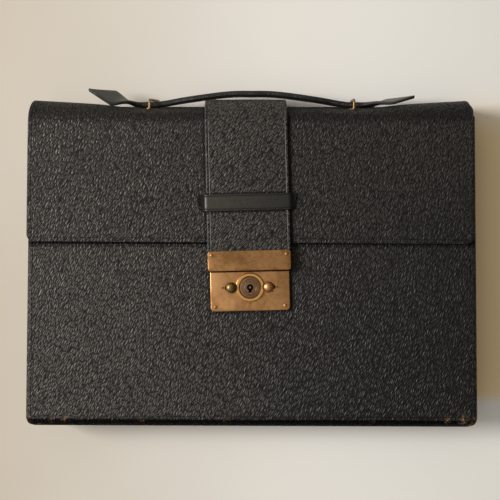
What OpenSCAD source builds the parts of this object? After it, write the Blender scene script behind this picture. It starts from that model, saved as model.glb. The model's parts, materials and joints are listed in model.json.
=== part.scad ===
// Flap-over leather writing case, lying on its back.
// +X to the right, +Y from the bottom edge up to the handle, +Z out of the front.
// The origin is the centre of the back face, on the surface that the case lies on.

/* [Case] */
// Width of the case over its leather
case_w = 355; // [320:1:400]
// Height of the case, from its bottom edge to its spine
case_h = 262; // [230:1:300]
// Depth of the case, from back face to front face
case_d = 40; // [36:1:50]
// Radius of the two bottom corners, seen from the front
corner_r = 7; // [4:0.5:12]
// Radius of the roll along the left and right edges of the front
side_roll = 4; // [2:0.5:6]
// Radius of the roll along the bottom edge of the front
bottom_roll = 8; // [4:0.5:10]
// Radius of the edges round the back
back_roll = 1.5; // [0.5:0.5:3]
// Depth of the front leather that is turned down over the edges
front_turn = 10; // [8.5:0.5:13]
// Thickness of the leather
leather_t = 1; // [0.8:0.1:1.4]
// Thickness of the boards that stiffen the case
board_t = 2; // [1.5:0.1:2.5]
// Thickness of the lining
lining_t = 0.6; // [0.4:0.1:0.9]

/* [Inside] */
// Height of the middle of the divider above the back face
divider_z = 15.8; // [13:0.1:17]
// Thickness of the divider
divider_t = 1.6; // [1:0.1:2]
// Distance from the spine down to the top of the divider
divider_drop = 20; // [18:1:60]
// Width of the letter pocket
pocket_w = 330; // [200:1:338]
// Height of the letter pocket
pocket_h = 150; // [80:1:200]
// Inner depth of the letter pocket
pocket_depth = 2; // [1:0.1:3]
// Thickness of the letter pocket's leather
pocket_t = 0.8; // [0.6:0.1:1.2]

/* [Spine and flap] */
// Height of the spine's lower edge above the back face
spine_foot = 4; // [3:0.5:6]
// Distance that the spine's roll reaches forward to the crease
roll_run = 22; // [18:0.5:26]
// Height above the back face at which the roll starts
roll_start = 22; // [16:0.5:26]
// Distance that the middle of the spine has sagged inwards
spine_sag = 5.5; // [5:0.1:8]
// Further distance that the handle's loops have drawn the spine in
loop_pull = 3.4; // [0:0.1:4]
// Width of the spine and the flap
flap_w = 351; // [346:1:352]
// Distance that the spine and the flap sit off centre, to the left
flap_shift = 1.5; // [0:0.1:1.5]
// Length of the flap from its crease to its lower edge
flap_len = 95.3; // [85:0.1:100]
// Radius of the flap's lower corners
flap_corner_r = 6; // [3:0.5:10]
// Clearance between the flap and the front of the case
flap_gap = 0.3; // [0.2:0.1:0.8]
// Thickness of the board in the spine and the flap
flap_board_t = 1.2; // [0.8:0.1:1.6]
// Width of the leather turned in round the flap's edges
turn_in = 3.5; // [2.5:0.5:5]
// Half the width of the bending leather at the crease
crease_half = 3; // [2.5:0.5:4]
// Clearance between the spine and the walls of the case that it closes
spine_gap = 0.6; // [0.4:0.1:1.5]
// Width of the bending leather along the back's top edge
hinge_leather = 5; // [4:0.5:8]

/* [Strap] */
// Width of the strap
strap_w = 65; // [56:0.5:68]
// Thickness of the strap
strap_t = 2.6; // [2:0.1:3.2]
// Angle by which the strap and the lock sit askew, in degrees
closure_skew = 1.5; // [0:0.1:2]
// Distance that the strap has sagged where it crosses the spine
strap_sag = 2.1; // [1:0.1:3]
// Half the length of the strap that bends at the crease
strap_free = 8; // [7:0.5:10]
// Width of the keeper, along the strap
keeper_w = 13; // [8:0.5:16]
// Length of the keeper, across the strap
keeper_span = 76; // [74:0.5:84]
// Thickness of the keeper
keeper_t = 1.5; // [1:0.1:2]
// Height of the keeper's middle above the middle of the keyhole
keeper_up = 66.5; // [55:0.5:80]
// Length of the keeper's ends, pasted in under the flap's leather
keeper_foot = 8; // [5:0.5:12]

/* [Hasp] */
// Width of the hasp plate
hasp_w = 64.8; // [60:0.1:65]
// Height of the hasp plate's lower edge above the middle of the keyhole
hasp_low = 13.1; // [12.7:0.1:13.7]
// Height of the hasp plate
hasp_h = 15.8; // [15.4:0.1:18]
// Thickness of the hasp plate's metal
hasp_t = 0.8; // [0.6:0.1:1]
// Radius of the hasp plate's corners
hasp_r = 2; // [1:0.5:3]
// Thickness of the plate behind the strap's end
hasp_back_t = 0.6; // [0.4:0.1:0.6]
// Distance between the two staples
staple_span = 40; // [38:0.5:40]
// Width of a staple, along the strap
staple_w = 5.6; // [5.4:0.1:5.8]
// Thickness of a staple
staple_t = 1.6; // [1.2:0.1:1.6]
// Height of the staples' middle above the middle of the keyhole
staple_up = 18; // [17.8:0.1:18.2]
// Distance between the two visible rivets of the hasp
hasp_rivet_span = 58.4; // [56:0.1:59]

/* [Lock] */
// Distance of the keyhole to the left of the case's middle
lock_left = 1; // [0:0.1:5]
// Height of the keyhole above the flap's lower edge, negative because it lies below it
lock_up = -34.8; // [-36.8:0.1:-32.8]
// Width of the lock plate
plate_w = 62.4; // [62:0.1:66]
// Length of the lock plate above the middle of the keyhole
plate_above = 26.2; // [26:0.1:27]
// Length of the lock plate below the middle of the keyhole
plate_below = 18.5; // [18.5:0.1:24]
// Height of the pressed lock plate over the leather
plate_h = 2.2; // [2:0.1:2.4]
// Thickness of the lock plate's metal
plate_t = 1; // [0.8:0.1:1.2]
// Radius of the lock plate's lower corners
plate_r = 3; // [1:0.5:4]
// Depth of the lock case behind the front face
lock_depth = 8; // [8:0.1:9]
// Thickness of the lock case's metal
lock_wall = 0.8; // [0.6:0.1:1]
// Width of the flange that clamps the lock case to the front
lock_flange = 3.5; // [2:0.5:6]
// Radius of the key escutcheon
ring_r = 11.4; // [10.4:0.1:11.6]
// Radius of the sunk disc in the escutcheon
disc_r = 8.5; // [7.5:0.1:8.7]
// Height of the escutcheon's rim over the lock plate
ring_h = 1.3; // [1:0.1:1.6]
// Radius of the round end of the keyhole
keyhole_r = 2.5; // [2:0.1:3]
// Width of the keyhole's slot
keyhole_slot = 2.4; // [1.6:0.1:3]
// Length of the keyhole's slot below its centre
keyhole_len = 5; // [4:0.1:6]
// Radius of the post that the key turns on
post_r = 0.9; // [0.6:0.1:1.2]
// Distance of each stud from the middle of the keyhole
stud_x = 14.6; // [14:0.1:15]
// Radius of the studs' domed heads
stud_r = 4.2; // [3.5:0.1:4.2]
// Height of the studs' domed heads
stud_h = 2.7; // [2:0.1:3.2]
// Radius of the studs' necks
stud_neck_r = 1.5; // [1.2:0.1:1.7]
// Distance that each stud slides outwards
stud_travel = 3.5; // [3:0.1:3.5]
// Distance of the two small pins from the middle of the keyhole
pin_x = 21.2; // [20.6:0.1:21.6]
// Radius of the two small pins
pin_r = 1; // [0.8:0.1:1.2]
// Distance between the lock plate's two lower rivets
rivet_span = 54.6; // [54:0.1:55]
// Distance of the lower rivets below the middle of the keyhole
rivet_down = 14.8; // [14:0.1:15]
// Distance of the upper rivets above the middle of the keyhole
rivet_rise = 22.5; // [22.3:0.1:22.7]
// Thickness of the lock bolt
bolt_t = 1.4; // [1:0.1:1.6]
// Distance that the lock bolt slides
bolt_travel = 4; // [3:0.1:4]
// Clearance round the pieces that slide in the lock
slide_gap = 0.15; // [0.1:0.05:0.2]

/* [Handle] */
// Distance between the two handle loops
loop_span = 165; // [150:1:190]
// Height of the handle's middle above the back face
handle_z = 21; // [20:0.5:22]
// Distance that the handle's middle stands beyond the spine
handle_rise = 6.1; // [5.5:0.1:12]
// Distance that the handle lies inside the spine's edge at the loops
handle_dip = 3; // [0:0.1:3.2]
// Angle by which the handle leans, so that its far edge stands further out, in degrees
handle_lean = 12; // [0:0.5:14]
// Thickness of the handle
handle_t = 4.6; // [3.6:0.1:4.8]
// Width of the handle at the grip
grip_w = 18; // [14:0.5:20]
// Width of the handle where it passes the loops
neck_w = 10; // [9:0.5:12]
// Half the length of the grip between its bending stretches
grip_half = 24; // [16:1:30]
// Greatest width of the end tabs
tab_w = 28; // [22:0.5:28]
// Thickness of the tabs where they widen
tab_t = 3; // [2.4:0.1:3.6]
// Thickness of the tabs at their tips
tip_t = 2.4; // [1.6:0.1:3]
// Distance from a loop to the tip of its tab
tab_reach = 51; // [46:1:56]
// Distance from a loop to the widest place of its tab
tab_broad = 31; // [28:0.5:34]
// Distance that the left tab's tip curls outwards
left_curl = 11.6; // [11.2:0.1:14]
// Distance that the right tab's tip curls outwards
right_curl = 7; // [6:0.1:12]
// Angle by which the left tab is twisted, in degrees
left_twist = 38; // [0:1:38]
// Angle by which the right tab is twisted, in degrees
right_twist = 20; // [0:1:24]
// Radius of the loops' wire
wire_r = 1.1; // [0.9:0.1:1.4]
// Inner width of the loops
loop_w = 18; // [17:0.5:20]
// Clearance between the handle and the loops
loop_gap = 0.4; // [0.3:0.1:0.6]
// Radius of the washers under the loops
washer_r = 2.8; // [2.4:0.1:3.2]
// Thickness of the washers
washer_t = 0.7; // [0.5:0.1:0.9]

/* [Hidden] */

big = 1000;               // longer than any piece, for cutting planes
fit = 0.15;               // clearance round a fixed shank or wall in its hole
seat = 0.3;               // clearance under a small piece that lies on a curved face
arc_steps = 8;            // straight steps in a rounded edge
$fn = 48;

bottom_y = -case_h / 2;
top_y = case_h / 2;
stack_t = leather_t + board_t + lining_t;              // a wall of the case
flap_t = leather_t + flap_board_t + lining_t;          // the spine and the flap
flap_top = case_d + flap_gap + flap_t;
flap_low = case_d + flap_gap;
crease_y = top_y - roll_run;
roll_rise = flap_top - roll_start;
roll_arc = (roll_run + roll_rise) * PI / 4;            // length of the roll along its curve
flap_left = -flap_w / 2 - flap_shift;
flap_right = flap_w / 2 - flap_shift;
flap_end_y = crease_y - flap_len;
wall_joint_y = bottom_y + 1.06 * max(corner_r, bottom_roll);   // side boards meet the bottom board
board_left = flap_left + turn_in;
board_right = flap_right - turn_in;

lock_y = flap_end_y + lock_up;
plate_top = case_d + plate_h;
plate_under = plate_top - plate_t;
strap_top = flap_top + strap_t;
hasp_top = strap_top + hasp_t;
hasp_foot = flap_top - hasp_back_t + slide_gap;
strap_mid_x = -lock_left - tan(closure_skew) * (crease_y - lock_y);

lock_half = plate_w / 2 - plate_t - fit;               // lock case, half its width
lock_low = -plate_below + plate_t + fit;
lock_high = plate_above - plate_t - fit;
lock_back = case_d - lock_depth;
bolt_z = lock_back + lock_wall + 1.8;
bolt_low = 9;                                          // height of the bolt's bar over the keyhole
bolt_bar = 3;                                          // width of the bar and of its two arms
bolt_clear = 0.5;                                      // between the drawn bolt and the staples
prong_w = 2.8;
guide_x = 10;                                          // blocks that the bolt slides on
guide_w = 4;
slider_t = plate_under - case_d - slide_gap;
slider_z = plate_under - slide_gap - slider_t;
slider_in = 9;                                         // inner end of a slider
slider_w = 8;
tongue_w = 2.8;                                        // end of the slider that enters the staple
staple_foot = lock_back + lock_wall + 0.6;
staple_x = staple_span / 2;
staple_slack = 0.3;                                    // round a staple in the lock plate
staple_swing = 3.2;                                    // more room where the staple swings out
staple_eye = 3.5;
arm_in = staple_x + 1.2;                               // the slider's arm, outside its staple
arm_out = arm_in + 4.2;
arm_top = staple_up + 1.5;
tenon_t = 1;
tenon_w = 2.6;
rivet_r = 0.9;
pillar_r = 2;
hasp_rivet_r = 0.8;
hasp_rivet_drop = 3.3;                                 // of the hasp's rivets under its upper edge
hasp_end = hasp_low + hasp_t + slide_gap;
hasp_high = hasp_low + hasp_h;
hasp_inner = hasp_w / 2 - hasp_t - slide_gap;

loop_x = loop_span / 2;
handle_mid_y = top_y + handle_rise;
handle_loop_y = top_y - handle_dip;
arch_turn = 0.79 * loop_x;                             // where the arch starts to flatten out
arch_end = 1.006 * loop_x;                             // where it has become straight
neck_from = loop_x - 0.147 * tab_reach;
neck_to = loop_x + 0.127 * tab_reach;
curl_from = loop_x + 0.176 * tab_reach;
twist_from = loop_x + 0.255 * tab_reach;
thin_from = loop_x + 0.06 * tab_reach;                 // where the handle's layers part into the tab
thin_to = loop_x + 0.275 * tab_reach;
tab_at = loop_x + tab_broad;
tip_at = loop_x + tab_reach;
dip_w = 0.26 * loop_x;                                 // half width of the dip at a loop
loop_lean = handle_lean * (1 - ramp(loop_x, neck_from, tab_at));   // of the handle in its loops
bar_y = handle_loop_y + (handle_t / 2 + loop_gap + wire_r) / cos(loop_lean);
edge_cut = 0.8;                                        // of the handle's four long edges
left_shift = 3.6;                                      // of the left tab's middle, as it twists

// Outlines

// Points of one corner of a rounded outline: a quarter circle, or a point where it is sharp
function corner(x, y, r, from) = r > 0.05
    ? [for (i = [0 : arc_steps]) let (a = from + 90 * i / arc_steps) [x, y] + r * [cos(a), sin(a)]]
    : [[x, y]];

// A rectangle whose lower left, lower right, upper right and upper left corners have these radii
function rounded(x0, x1, y0, y1, radii) = concat(
    corner(x0 + radii[0], y0 + radii[0], radii[0], 180),
    corner(x1 - radii[1], y0 + radii[1], radii[1], 270),
    corner(x1 - radii[2], y1 - radii[2], radii[2], 0),
    corner(x0 + radii[3], y1 - radii[3], radii[3], 90));

function about(middle, width) = [middle - width / 2, middle + width / 2];

module box(x, y, z) {
    translate([x[0], y[0], z[0]]) cube([x[1] - x[0], y[1] - y[0], z[1] - z[0]]);
}

module drilled(radius, places) {
    difference() {
        children();
        for (p = places) translate([p[0], p[1], -1]) cylinder(r = radius, h = big);
    }
}

// The case

// The closed form of the case, its surface moved inwards by a distance
module case_form(inset) {
    left = -case_w / 2 + inset;
    low = bottom_y + inset;
    front_r = max(side_roll - inset, 0);
    bottom_r = max(bottom_roll - inset, 0);
    back_r = max(back_roll - inset, 0);
    outline_r = max(corner_r - inset, 0);
    intersection() {
        linear_extrude(case_d)
            polygon(rounded(left, -left, low, big, [outline_r, outline_r, 0, 0]));
        translate([0, big, 0]) rotate([90, 0, 0]) linear_extrude(2 * big)
            polygon(rounded(left, -left, inset, case_d - inset, [back_r, back_r, front_r, front_r]));
        translate([-big, 0, 0]) rotate([90, 0, 90]) linear_extrude(2 * big)
            polygon(rounded(low, big, inset, case_d - inset, [back_r, 0, 0, bottom_r]));
    }
}

// What lies between two insets of the form, within a range of heights
module layer(outer, inner, heights) {
    intersection() {
        difference() {
            case_form(outer);
            case_form(inner);
        }
        box([-big, big], [-big, big], heights);
    }
}

// The space under the spine and its roll, which the walls fill up to a clearance
module under_spine() {
    d = flap_t + spine_gap;
    reach = roll_arc + roll_start;
    curve = [for (i = [0 : 20]) spine_at(reach * i / 20, d)];
    translate([-big, 0, 0]) rotate([90, 0, 90]) linear_extrude(2 * big)
        polygon(concat([[-big, 0], [-big, big], [crease_y - 1, big]], curve));
}

module lock_opening() {
    closure() box([-lock_half - fit, lock_half + fit], [lock_low - fit, lock_high + fit], [0, big]);
}

module back_cover() {
    color("#1f1e1f") intersection() {
        layer(0, leather_t, [0, leather_t]);
        box([-big, big], [-big, top_y - hinge_leather], [-1, big]);
    }
}

module back_board() {
    color("tan") intersection() {
        layer(leather_t, leather_t + board_t, [leather_t, leather_t + board_t]);
        box([-big, big], [-big, top_y - hinge_leather - 1], [-1, big]);
    }
}

module back_lining() {
    color("#4a3b35") intersection() {
        layer(leather_t + board_t, stack_t, [leather_t + board_t, stack_t]);
        box([-big, big], [-big, top_y - hinge_leather - 1], [-1, big]);
    }
}

module front_cut() {
    intersection() {
        children();
        box([-big, big], [-big, crease_y], [-1, big]);
    }
}

module front_cover() {
    color("#1f1e1f") difference() {
        front_cut() layer(0, leather_t, [case_d - front_turn, case_d]);
        lock_opening();
    }
}

module front_board() {
    color("tan") difference() {
        front_cut() layer(leather_t, leather_t + board_t, [case_d - leather_t - board_t, case_d]);
        lock_opening();
    }
}

module front_lining() {
    color("#4a3b35") difference() {
        front_cut() layer(leather_t + board_t, stack_t, [case_d - stack_t, case_d]);
        lock_opening();
    }
}

// One of the three layers of the walls, from the back's layer up to the front's, which stops at
// the crease: beyond it the wall goes on up to the spine's roll
module wall_layer(outer, inner, foot, front_z) {
    intersection() {
        difference() {
            case_form(outer);
            case_form(inner);
            box([-big, big], [-big, big], [-1, foot]);
            box([-big, big], [-big, crease_y], [front_z, big]);
            box([inner - case_w / 2, case_w / 2 - inner], [crease_y - 1, big], [case_d / 2, big]);
        }
        under_spine();
    }
}

module wall_cover() {
    color("#242323") wall_layer(0, leather_t, leather_t, case_d - front_turn);
}

module wall_board(x, y) {
    edge = leather_t + board_t;
    color("tan") intersection() {
        wall_layer(leather_t, edge, edge, case_d - edge);
        box(x, y, [0, big]);
    }
}

module left_wall_board() { wall_board([-big, 0], [wall_joint_y, big]); }

module right_wall_board() { wall_board([0, big], [wall_joint_y, big]); }

module bottom_wall_board() { wall_board([-big, big], [-big, wall_joint_y]); }

module wall_lining() {
    color("#4a3b35") wall_layer(leather_t + board_t, stack_t, stack_t, case_d - stack_t);
}

module divider() {
    half = case_w / 2 - stack_t;
    r = max(corner_r - stack_t, 0);
    color("#5a4238") translate([0, 0, divider_z - divider_t / 2]) linear_extrude(divider_t)
        polygon(rounded(-half, half, bottom_y + stack_t, top_y - divider_drop, [r, r, 0, 0]));
}

// A leather front on a U-shaped welt, stitched to the divider
module letter_pocket() {
    low = bottom_y + stack_t + corner_r;
    foot = divider_z + divider_t / 2;
    welt = 4;
    half = pocket_w / 2;
    color("#3a2c26") difference() {
        box([-half, half], [low, low + pocket_h], [foot, foot + pocket_depth + pocket_t]);
        box([welt - half, half - welt], [low + welt, big], [foot - 1, foot + pocket_depth]);
    }
}

// The lock and the hasp share a frame, askew, with its origin at the middle of the keyhole
module closure() {
    translate([-lock_left, lock_y, 0]) rotate(closure_skew) children();
}

function rivet_places() = [for (s = [-1, 1]) for (y = [-rivet_down, rivet_rise]) [s * rivet_span / 2, y]];

// A shank that stands on z = 0, with a domed head on top
module rivet(shank_r, length, head_r, head_h) {
    rotate_extrude() polygon(concat([[0, 0], [shank_r, 0], [shank_r, length]],
        [for (i = [0 : 5]) [head_r * cos(18 * i), length + head_h * sin(18 * i)]]));
}

// A straight slot with round ends, cut from one centre to another along X
module slot(x, radius, z) {
    translate([0, 0, z[0]]) {
        for (end = x) translate([end, 0, 0]) cylinder(r = radius, h = z[1] - z[0]);
        translate([min(x), -radius, 0]) cube([abs(x[1] - x[0]), 2 * radius, z[1] - z[0]]);
    }
}

// Room for a staple, longer on the side that it swings towards as the spine turns
module staple_room() {
    for (s = [-1, 1])
        box(about(s * staple_x, staple_t + 2 * staple_slack),
            [staple_up - staple_w / 2 - staple_slack, staple_up + staple_w / 2 + staple_swing], [0, big]);
}

module lock_plate() {
    half = plate_w / 2;
    radii = [plate_r, plate_r, 1, 1];
    inner = [for (r = radii) max(r - plate_t, 0)];
    color("#b98252") closure() drilled(pin_r, [[-pin_x, 0], [pin_x, 0]])
        drilled(rivet_r, rivet_places()) difference() {
            translate([0, 0, case_d]) linear_extrude(plate_h)
                polygon(rounded(-half, half, -plate_below, plate_above, radii));
            translate([0, 0, case_d - 1]) linear_extrude(plate_h - plate_t + 1)
                polygon(rounded(-half + plate_t, half - plate_t, -plate_below + plate_t,
                    plate_above - plate_t, inner));
            staple_room();
            cylinder(r = keyhole_r + 1.5, h = big);
            for (s = [-1, 1])
                slot([s * stud_x, s * (stud_x + stud_travel)], stud_neck_r + slide_gap, [0, big]);
        }
}

// A block within the pan's outline, moved inwards by a distance
module lock_block(inset, z) {
    r = max(plate_r - plate_t - inset, 0);
    translate([0, 0, z[0]]) linear_extrude(z[1] - z[0])
        polygon(rounded(-lock_half + inset, lock_half - inset, lock_low + inset, lock_high - inset,
            [r, r, 0, 0]));
}

// The pan behind the front, clamped to it by its flange and the rivets in its four corners
module lock_case() {
    flange_z = case_d - stack_t;
    color("#8c8a86") closure() drilled(rivet_r, rivet_places()) {
        difference() {
            union() {
                lock_block(0, [lock_back, plate_under]);
                lock_block(-lock_flange, [flange_z - lock_wall, flange_z]);
            }
            lock_block(lock_wall, [lock_back + lock_wall, big]);
        }
        for (p = rivet_places()) translate([p[0], p[1], lock_back])
            cylinder(r = pillar_r, h = plate_under - lock_back);
        for (s = [-1, 1])
            box(about(s * guide_x, guide_w), about(bolt_low + bolt_bar / 2, bolt_bar + 2 * slide_gap),
                [lock_back, bolt_z - slide_gap]);
    }
}

module lock_rivets() {
    color("#9a6a40") closure() for (p = rivet_places()) translate([p[0], p[1], lock_back])
        rivet(rivet_r, plate_top - lock_back, p[1] < 0 ? rivet_r + 0.5 : rivet_r, p[1] < 0 ? 0.5 : 0.05);
}

module key_escutcheon() {
    low = plate_top;
    color("#a8703f") closure() difference() {
        rotate_extrude() polygon([
            [0, low], [ring_r, low], [ring_r, low + 0.5], [ring_r - 0.6, low + ring_h],
            [disc_r + 0.6, low + ring_h], [disc_r, low + 0.5], [disc_r - 0.5, low + 0.9],
            [disc_r - 2.6, low + 1.1], [disc_r - 3, low + 0.8], [disc_r - 3.4, low + 1.1], [0, low + 1.1]]);
        translate([0, 0, low - 1]) cylinder(r = keyhole_r, h = 9);
        box([-keyhole_slot / 2, keyhole_slot / 2], [-keyhole_len, 0], [low - 1, big]);
        for (s = [-1, 1])
            slot([s * stud_x, s * (stud_x + stud_travel)], stud_r + 0.4, [low - 1, low + 9]);
    }
}

module key_post() {
    color("#d8b070") closure() translate([0, 0, lock_back + lock_wall])
        cylinder(r = post_r, h = plate_top + 1 - lock_back - lock_wall);
}

module lock_pins() {
    color("#9a6a40") closure() for (s = [-1, 1]) translate([s * pin_x, 0, plate_under])
        cylinder(r = pin_r, h = plate_t + 0.1);
}

// The slider that carries a stud reaches round the outside of its staple
module slider(s) {
    z = [slider_z, slider_z + slider_t];
    color("#8c8a86") closure() mirror([s < 0 ? 1 : 0, 0, 0])
        drilled(stud_neck_r, [[stud_x, 0]]) {
            box([slider_in, arm_out], [-slider_w / 2, slider_w / 2], z);
            box([arm_in + 0.6, arm_out], [-slider_w / 2, arm_top], z);
            box([arm_in, arm_out], [arm_top - tongue_w, arm_top], z);
        }
}

module stud(s) {
    head_z = plate_top + 0.3;
    color("#c9935a") closure() translate([s * stud_x, 0, slider_z])
        rivet(stud_neck_r, head_z - slider_z, stud_r, stud_h);
}

module left_slider() { slider(-1); }

module right_slider() { slider(1); }

module left_stud() { stud(-1); }

module right_stud() { stud(1); }

// A bowed leaf between the lock case's wall and the slider
module catch_spring(s) {
    wall = lock_half - lock_wall;
    bow = wall - arm_out - 2 * slide_gap;
    half_len = 13;
    leaf_t = 0.4;
    r = (half_len * half_len + bow * bow) / (2 * bow);
    z = [slider_z, slider_z + slider_t];
    color("#c8c8c8") closure() mirror([s < 0 ? 1 : 0, 0, 0]) intersection() {
        translate([arm_out + slide_gap + r, 2, z[0]]) difference() {
            cylinder(r = r, h = z[1] - z[0], $fn = 180);
            translate([0, 0, -1]) cylinder(r = r - leaf_t, h = big, $fn = 180);
        }
        box([0, wall], [2 - half_len, 2 + half_len], z);
    }
}

module left_spring() { catch_spring(-1); }

module right_spring() { catch_spring(1); }

// A bar with two arms, whose prongs slide into the eyes of the staples
module lock_bolt() {
    z = [bolt_z, bolt_z + bolt_t];
    prong = about(staple_up, prong_w);
    tips = [for (s = [-1, 1]) s * staple_x - staple_t / 2 - bolt_clear];
    color("#8c8a86") closure() difference() {
        union() {
            box([tips[0] - bolt_travel - bolt_bar, tips[1] - bolt_travel],
                [bolt_low, bolt_low + bolt_bar], z);
            for (tip = tips) {
                arm = tip - bolt_travel;
                box([arm - bolt_bar, arm], [bolt_low, prong[1]], z);
                box([arm - bolt_bar / 2, tip], prong, z);
            }
        }
        box([-2 * post_r, 2 * post_r], [0, bolt_low + bolt_bar / 2], [0, big]);
    }
}

// The spine and its roll: a section in the YZ plane, followed from the crease down to the back.
// The distance along it is 0 at the crease, and d is the depth below the outer surface.
function spine_at(along, d) =
    along <= 0 ? [crease_y + along, flap_top - d] :
    along <= roll_arc ? [crease_y + (roll_run - d) * sin(90 * along / roll_arc),
                         roll_start + (roll_rise - d) * cos(90 * along / roll_arc)] :
    [top_y - d, roll_start + roll_arc - along];

// Share of the sag at a height, from 0 at the spine's two edges to 1 between them
function sag_share(z) =
    z <= spine_foot || z >= flap_top ? 0 : pow(sin(180 * (z - spine_foot) / (flap_top - spine_foot)), 0.6);

// Depth of the sag across the case: a long hollow, with a dip at each loop where there is a pull
function hollow(x, amount, pull) =
    amount * max(1 - pow(2 * x / case_w, 2), 0)
    + pull * exp(-pow((abs(x) - loop_x) / dip_w, 2) / 2) * min(case_w / 2 - abs(x), dip_w) / dip_w;

function skin(x, along, d, amount, pull) =
    let (p = spine_at(along, d))
    [x, p[0] - hollow(x, amount, pull) * sag_share(spine_at(along, 0)[1]), p[1]];

spine_end = roll_arc + roll_start - spine_foot;
function stops(from) = concat(
    [for (i = [0 : 8]) from + (roll_arc - from) * i / 8],
    [for (i = [1 : 6]) roll_arc + (spine_end - roll_arc) * i / 6]);

// A closed sheet between two depths, through stations across X and stops along the section
module sheet(xs, alongs, d_out, d_in, amount, pull = 0) {
    n = len(alongs);
    m = len(xs);
    points = [for (x = xs) for (a = alongs) for (d = [d_out, d_in]) skin(x, a, d, amount, pull)];
    function at(i, j, k) = 2 * (i * n + j) + k;
    function quad(a, b, c, d) = [[a, b, c], [a, c, d]];
    surfaces = [for (i = [0 : m - 2]) for (j = [0 : n - 2]) for (t = concat(
        quad(at(i, j, 0), at(i, j + 1, 0), at(i + 1, j + 1, 0), at(i + 1, j, 0)),
        quad(at(i, j, 1), at(i + 1, j, 1), at(i + 1, j + 1, 1), at(i, j + 1, 1)))) t];
    sides = [for (j = [0 : n - 2]) for (t = concat(
        quad(at(0, j, 0), at(0, j, 1), at(0, j + 1, 1), at(0, j + 1, 0)),
        quad(at(m - 1, j, 0), at(m - 1, j + 1, 0), at(m - 1, j + 1, 1), at(m - 1, j, 1)))) t];
    ends = [for (i = [0 : m - 2]) for (t = concat(
        quad(at(i, 0, 0), at(i + 1, 0, 0), at(i + 1, 0, 1), at(i, 0, 1)),
        quad(at(i, n - 1, 0), at(i, n - 1, 1), at(i + 1, n - 1, 1), at(i + 1, n - 1, 0)))) t];
    polyhedron(points, concat(surfaces, sides, ends));
}

// Stations across the spine, closer together at the dips
function spine_stations() =
    let (half = [for (k = [2.6, 1.7, 1.1, 0.55, 0, -0.55, -1.1, -1.7, -2.6]) loop_x + k * dip_w])
    concat([board_left], [for (x = half) -x], [0], [for (i = [8 : -1 : 0]) half[i]], [board_right]);

// Place of the spine's surface at a height, at a depth below the outer surface
function spine_y(x, z, d) =
    let (c = (z - roll_start) / (roll_rise - d),
         z_out = z > roll_start ? roll_start + roll_rise * c : z,
         y = z > roll_start ? crease_y + (roll_run - d) * sqrt(1 - c * c) : top_y - d)
    y - hollow(x, spine_sag, loop_pull) * sag_share(z_out);

function leg_heights() = [for (s = [-1, 1]) handle_z + s * (loop_w / 2 + wire_r)];

function leg_places() = [for (s = [-1, 1]) for (z = leg_heights()) [s * loop_x, z]];

module leg_holes() {
    difference() {
        children();
        for (p = leg_places()) translate([p[0], 0, p[1]]) rotate([-90, 0, 0])
            cylinder(r = wire_r + fit, h = big, $fn = 24);
    }
}

module spine_cover() {
    color("#1f1e1f") leg_holes() {
        sheet(spine_stations(), stops(crease_half), 0, leather_t, spine_sag, loop_pull);
        sheet([flap_left, board_left], stops(crease_half), 0, flap_t, spine_sag, loop_pull);
        sheet([board_right, flap_right], stops(crease_half), 0, flap_t, spine_sag, loop_pull);
    }
}

module spine_board() {
    color("tan") leg_holes()
        sheet(spine_stations(), stops(crease_half), leather_t, leather_t + flap_board_t,
            spine_sag, loop_pull);
}

module spine_lining() {
    color("#4a3b35") leg_holes()
        sheet(spine_stations(), stops(crease_half), leather_t + flap_board_t, flap_t,
            spine_sag, loop_pull);
}

// The bending leather that joins the back to the spine's foot, round the back's top edge
module back_hinge_leather() {
    outer = rounded(top_y - hinge_leather, top_y, 0, spine_foot, [0, spine_foot - 0.5, 0, 0]);
    inner = rounded(top_y - hinge_leather - 1, top_y - leather_t, leather_t, spine_foot + 1,
        [0, spine_foot - 0.5 - leather_t, 0, 0]);
    color("#1f1e1f") translate([flap_left, 0, 0]) rotate([90, 0, 90]) linear_extrude(flap_w)
        difference() {
            polygon(outer);
            polygon(inner);
        }
}

function strap_stations() = [for (i = [0 : 4]) strap_mid_x + strap_w * (i / 4 - 0.5)];

module strap_spine() {
    color("#262524") sheet(strap_stations(), stops(strap_free), -strap_t, 0, strap_sag);
}

// A staple-shaped loop of wire: two legs through the spine, and a bar that leans with the handle
module handle_loop(s) {
    bend = 3;
    legs = leg_heights();
    feet = [for (z = legs) spine_y(loop_x, z, flap_t) - burr_depth(loop_x, z) - fit];
    knee = [for (i = [0, 1]) let (z = legs[i] + (1 - 2 * i) * bend)
        [bar_y - bend / cos(loop_lean) - (z - handle_z) * tan(loop_lean), z]];
    path = concat([[feet[0], legs[0]]],
        [for (a = steps(0, 90 + loop_lean, 4)) knee[0] + bend * [sin(a), -cos(a)]],
        [for (a = steps(loop_lean, 90, 4)) knee[1] + bend * [cos(a), sin(a)]], [[feet[1], legs[1]]]);
    color("#b98252") translate([s * loop_x, 0, 0]) wire(path, wire_r, 16);
}

// A round wire along a path in the YZ plane
module wire(path, r, sides) {
    n = len(path);
    rings = [for (i = [0 : n - 1])
        let (t = path[min(i + 1, n - 1)] - path[max(i - 1, 0)], u = t / norm(t))
        [for (k = [0 : sides - 1]) let (a = 360 * k / sides)
            [r * cos(a), path[i][0] - r * sin(a) * u[1], path[i][1] + r * sin(a) * u[0]]]];
    polyhedron([for (g = rings) for (p = g) p], concat(
        [[for (k = [0 : sides - 1]) k]],
        [for (i = [0 : n - 2]) for (k = [0 : sides - 1]) for (t = [
            [sides * i + k, sides * (i + 1) + (k + 1) % sides, sides * i + (k + 1) % sides],
            [sides * i + k, sides * (i + 1) + k, sides * (i + 1) + (k + 1) % sides]]) t],
        [[for (k = [sides - 1 : -1 : 0]) sides * (n - 1) + k]]));
}

module left_handle_loop() { handle_loop(-1); }

module right_handle_loop() { handle_loop(1); }

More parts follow.
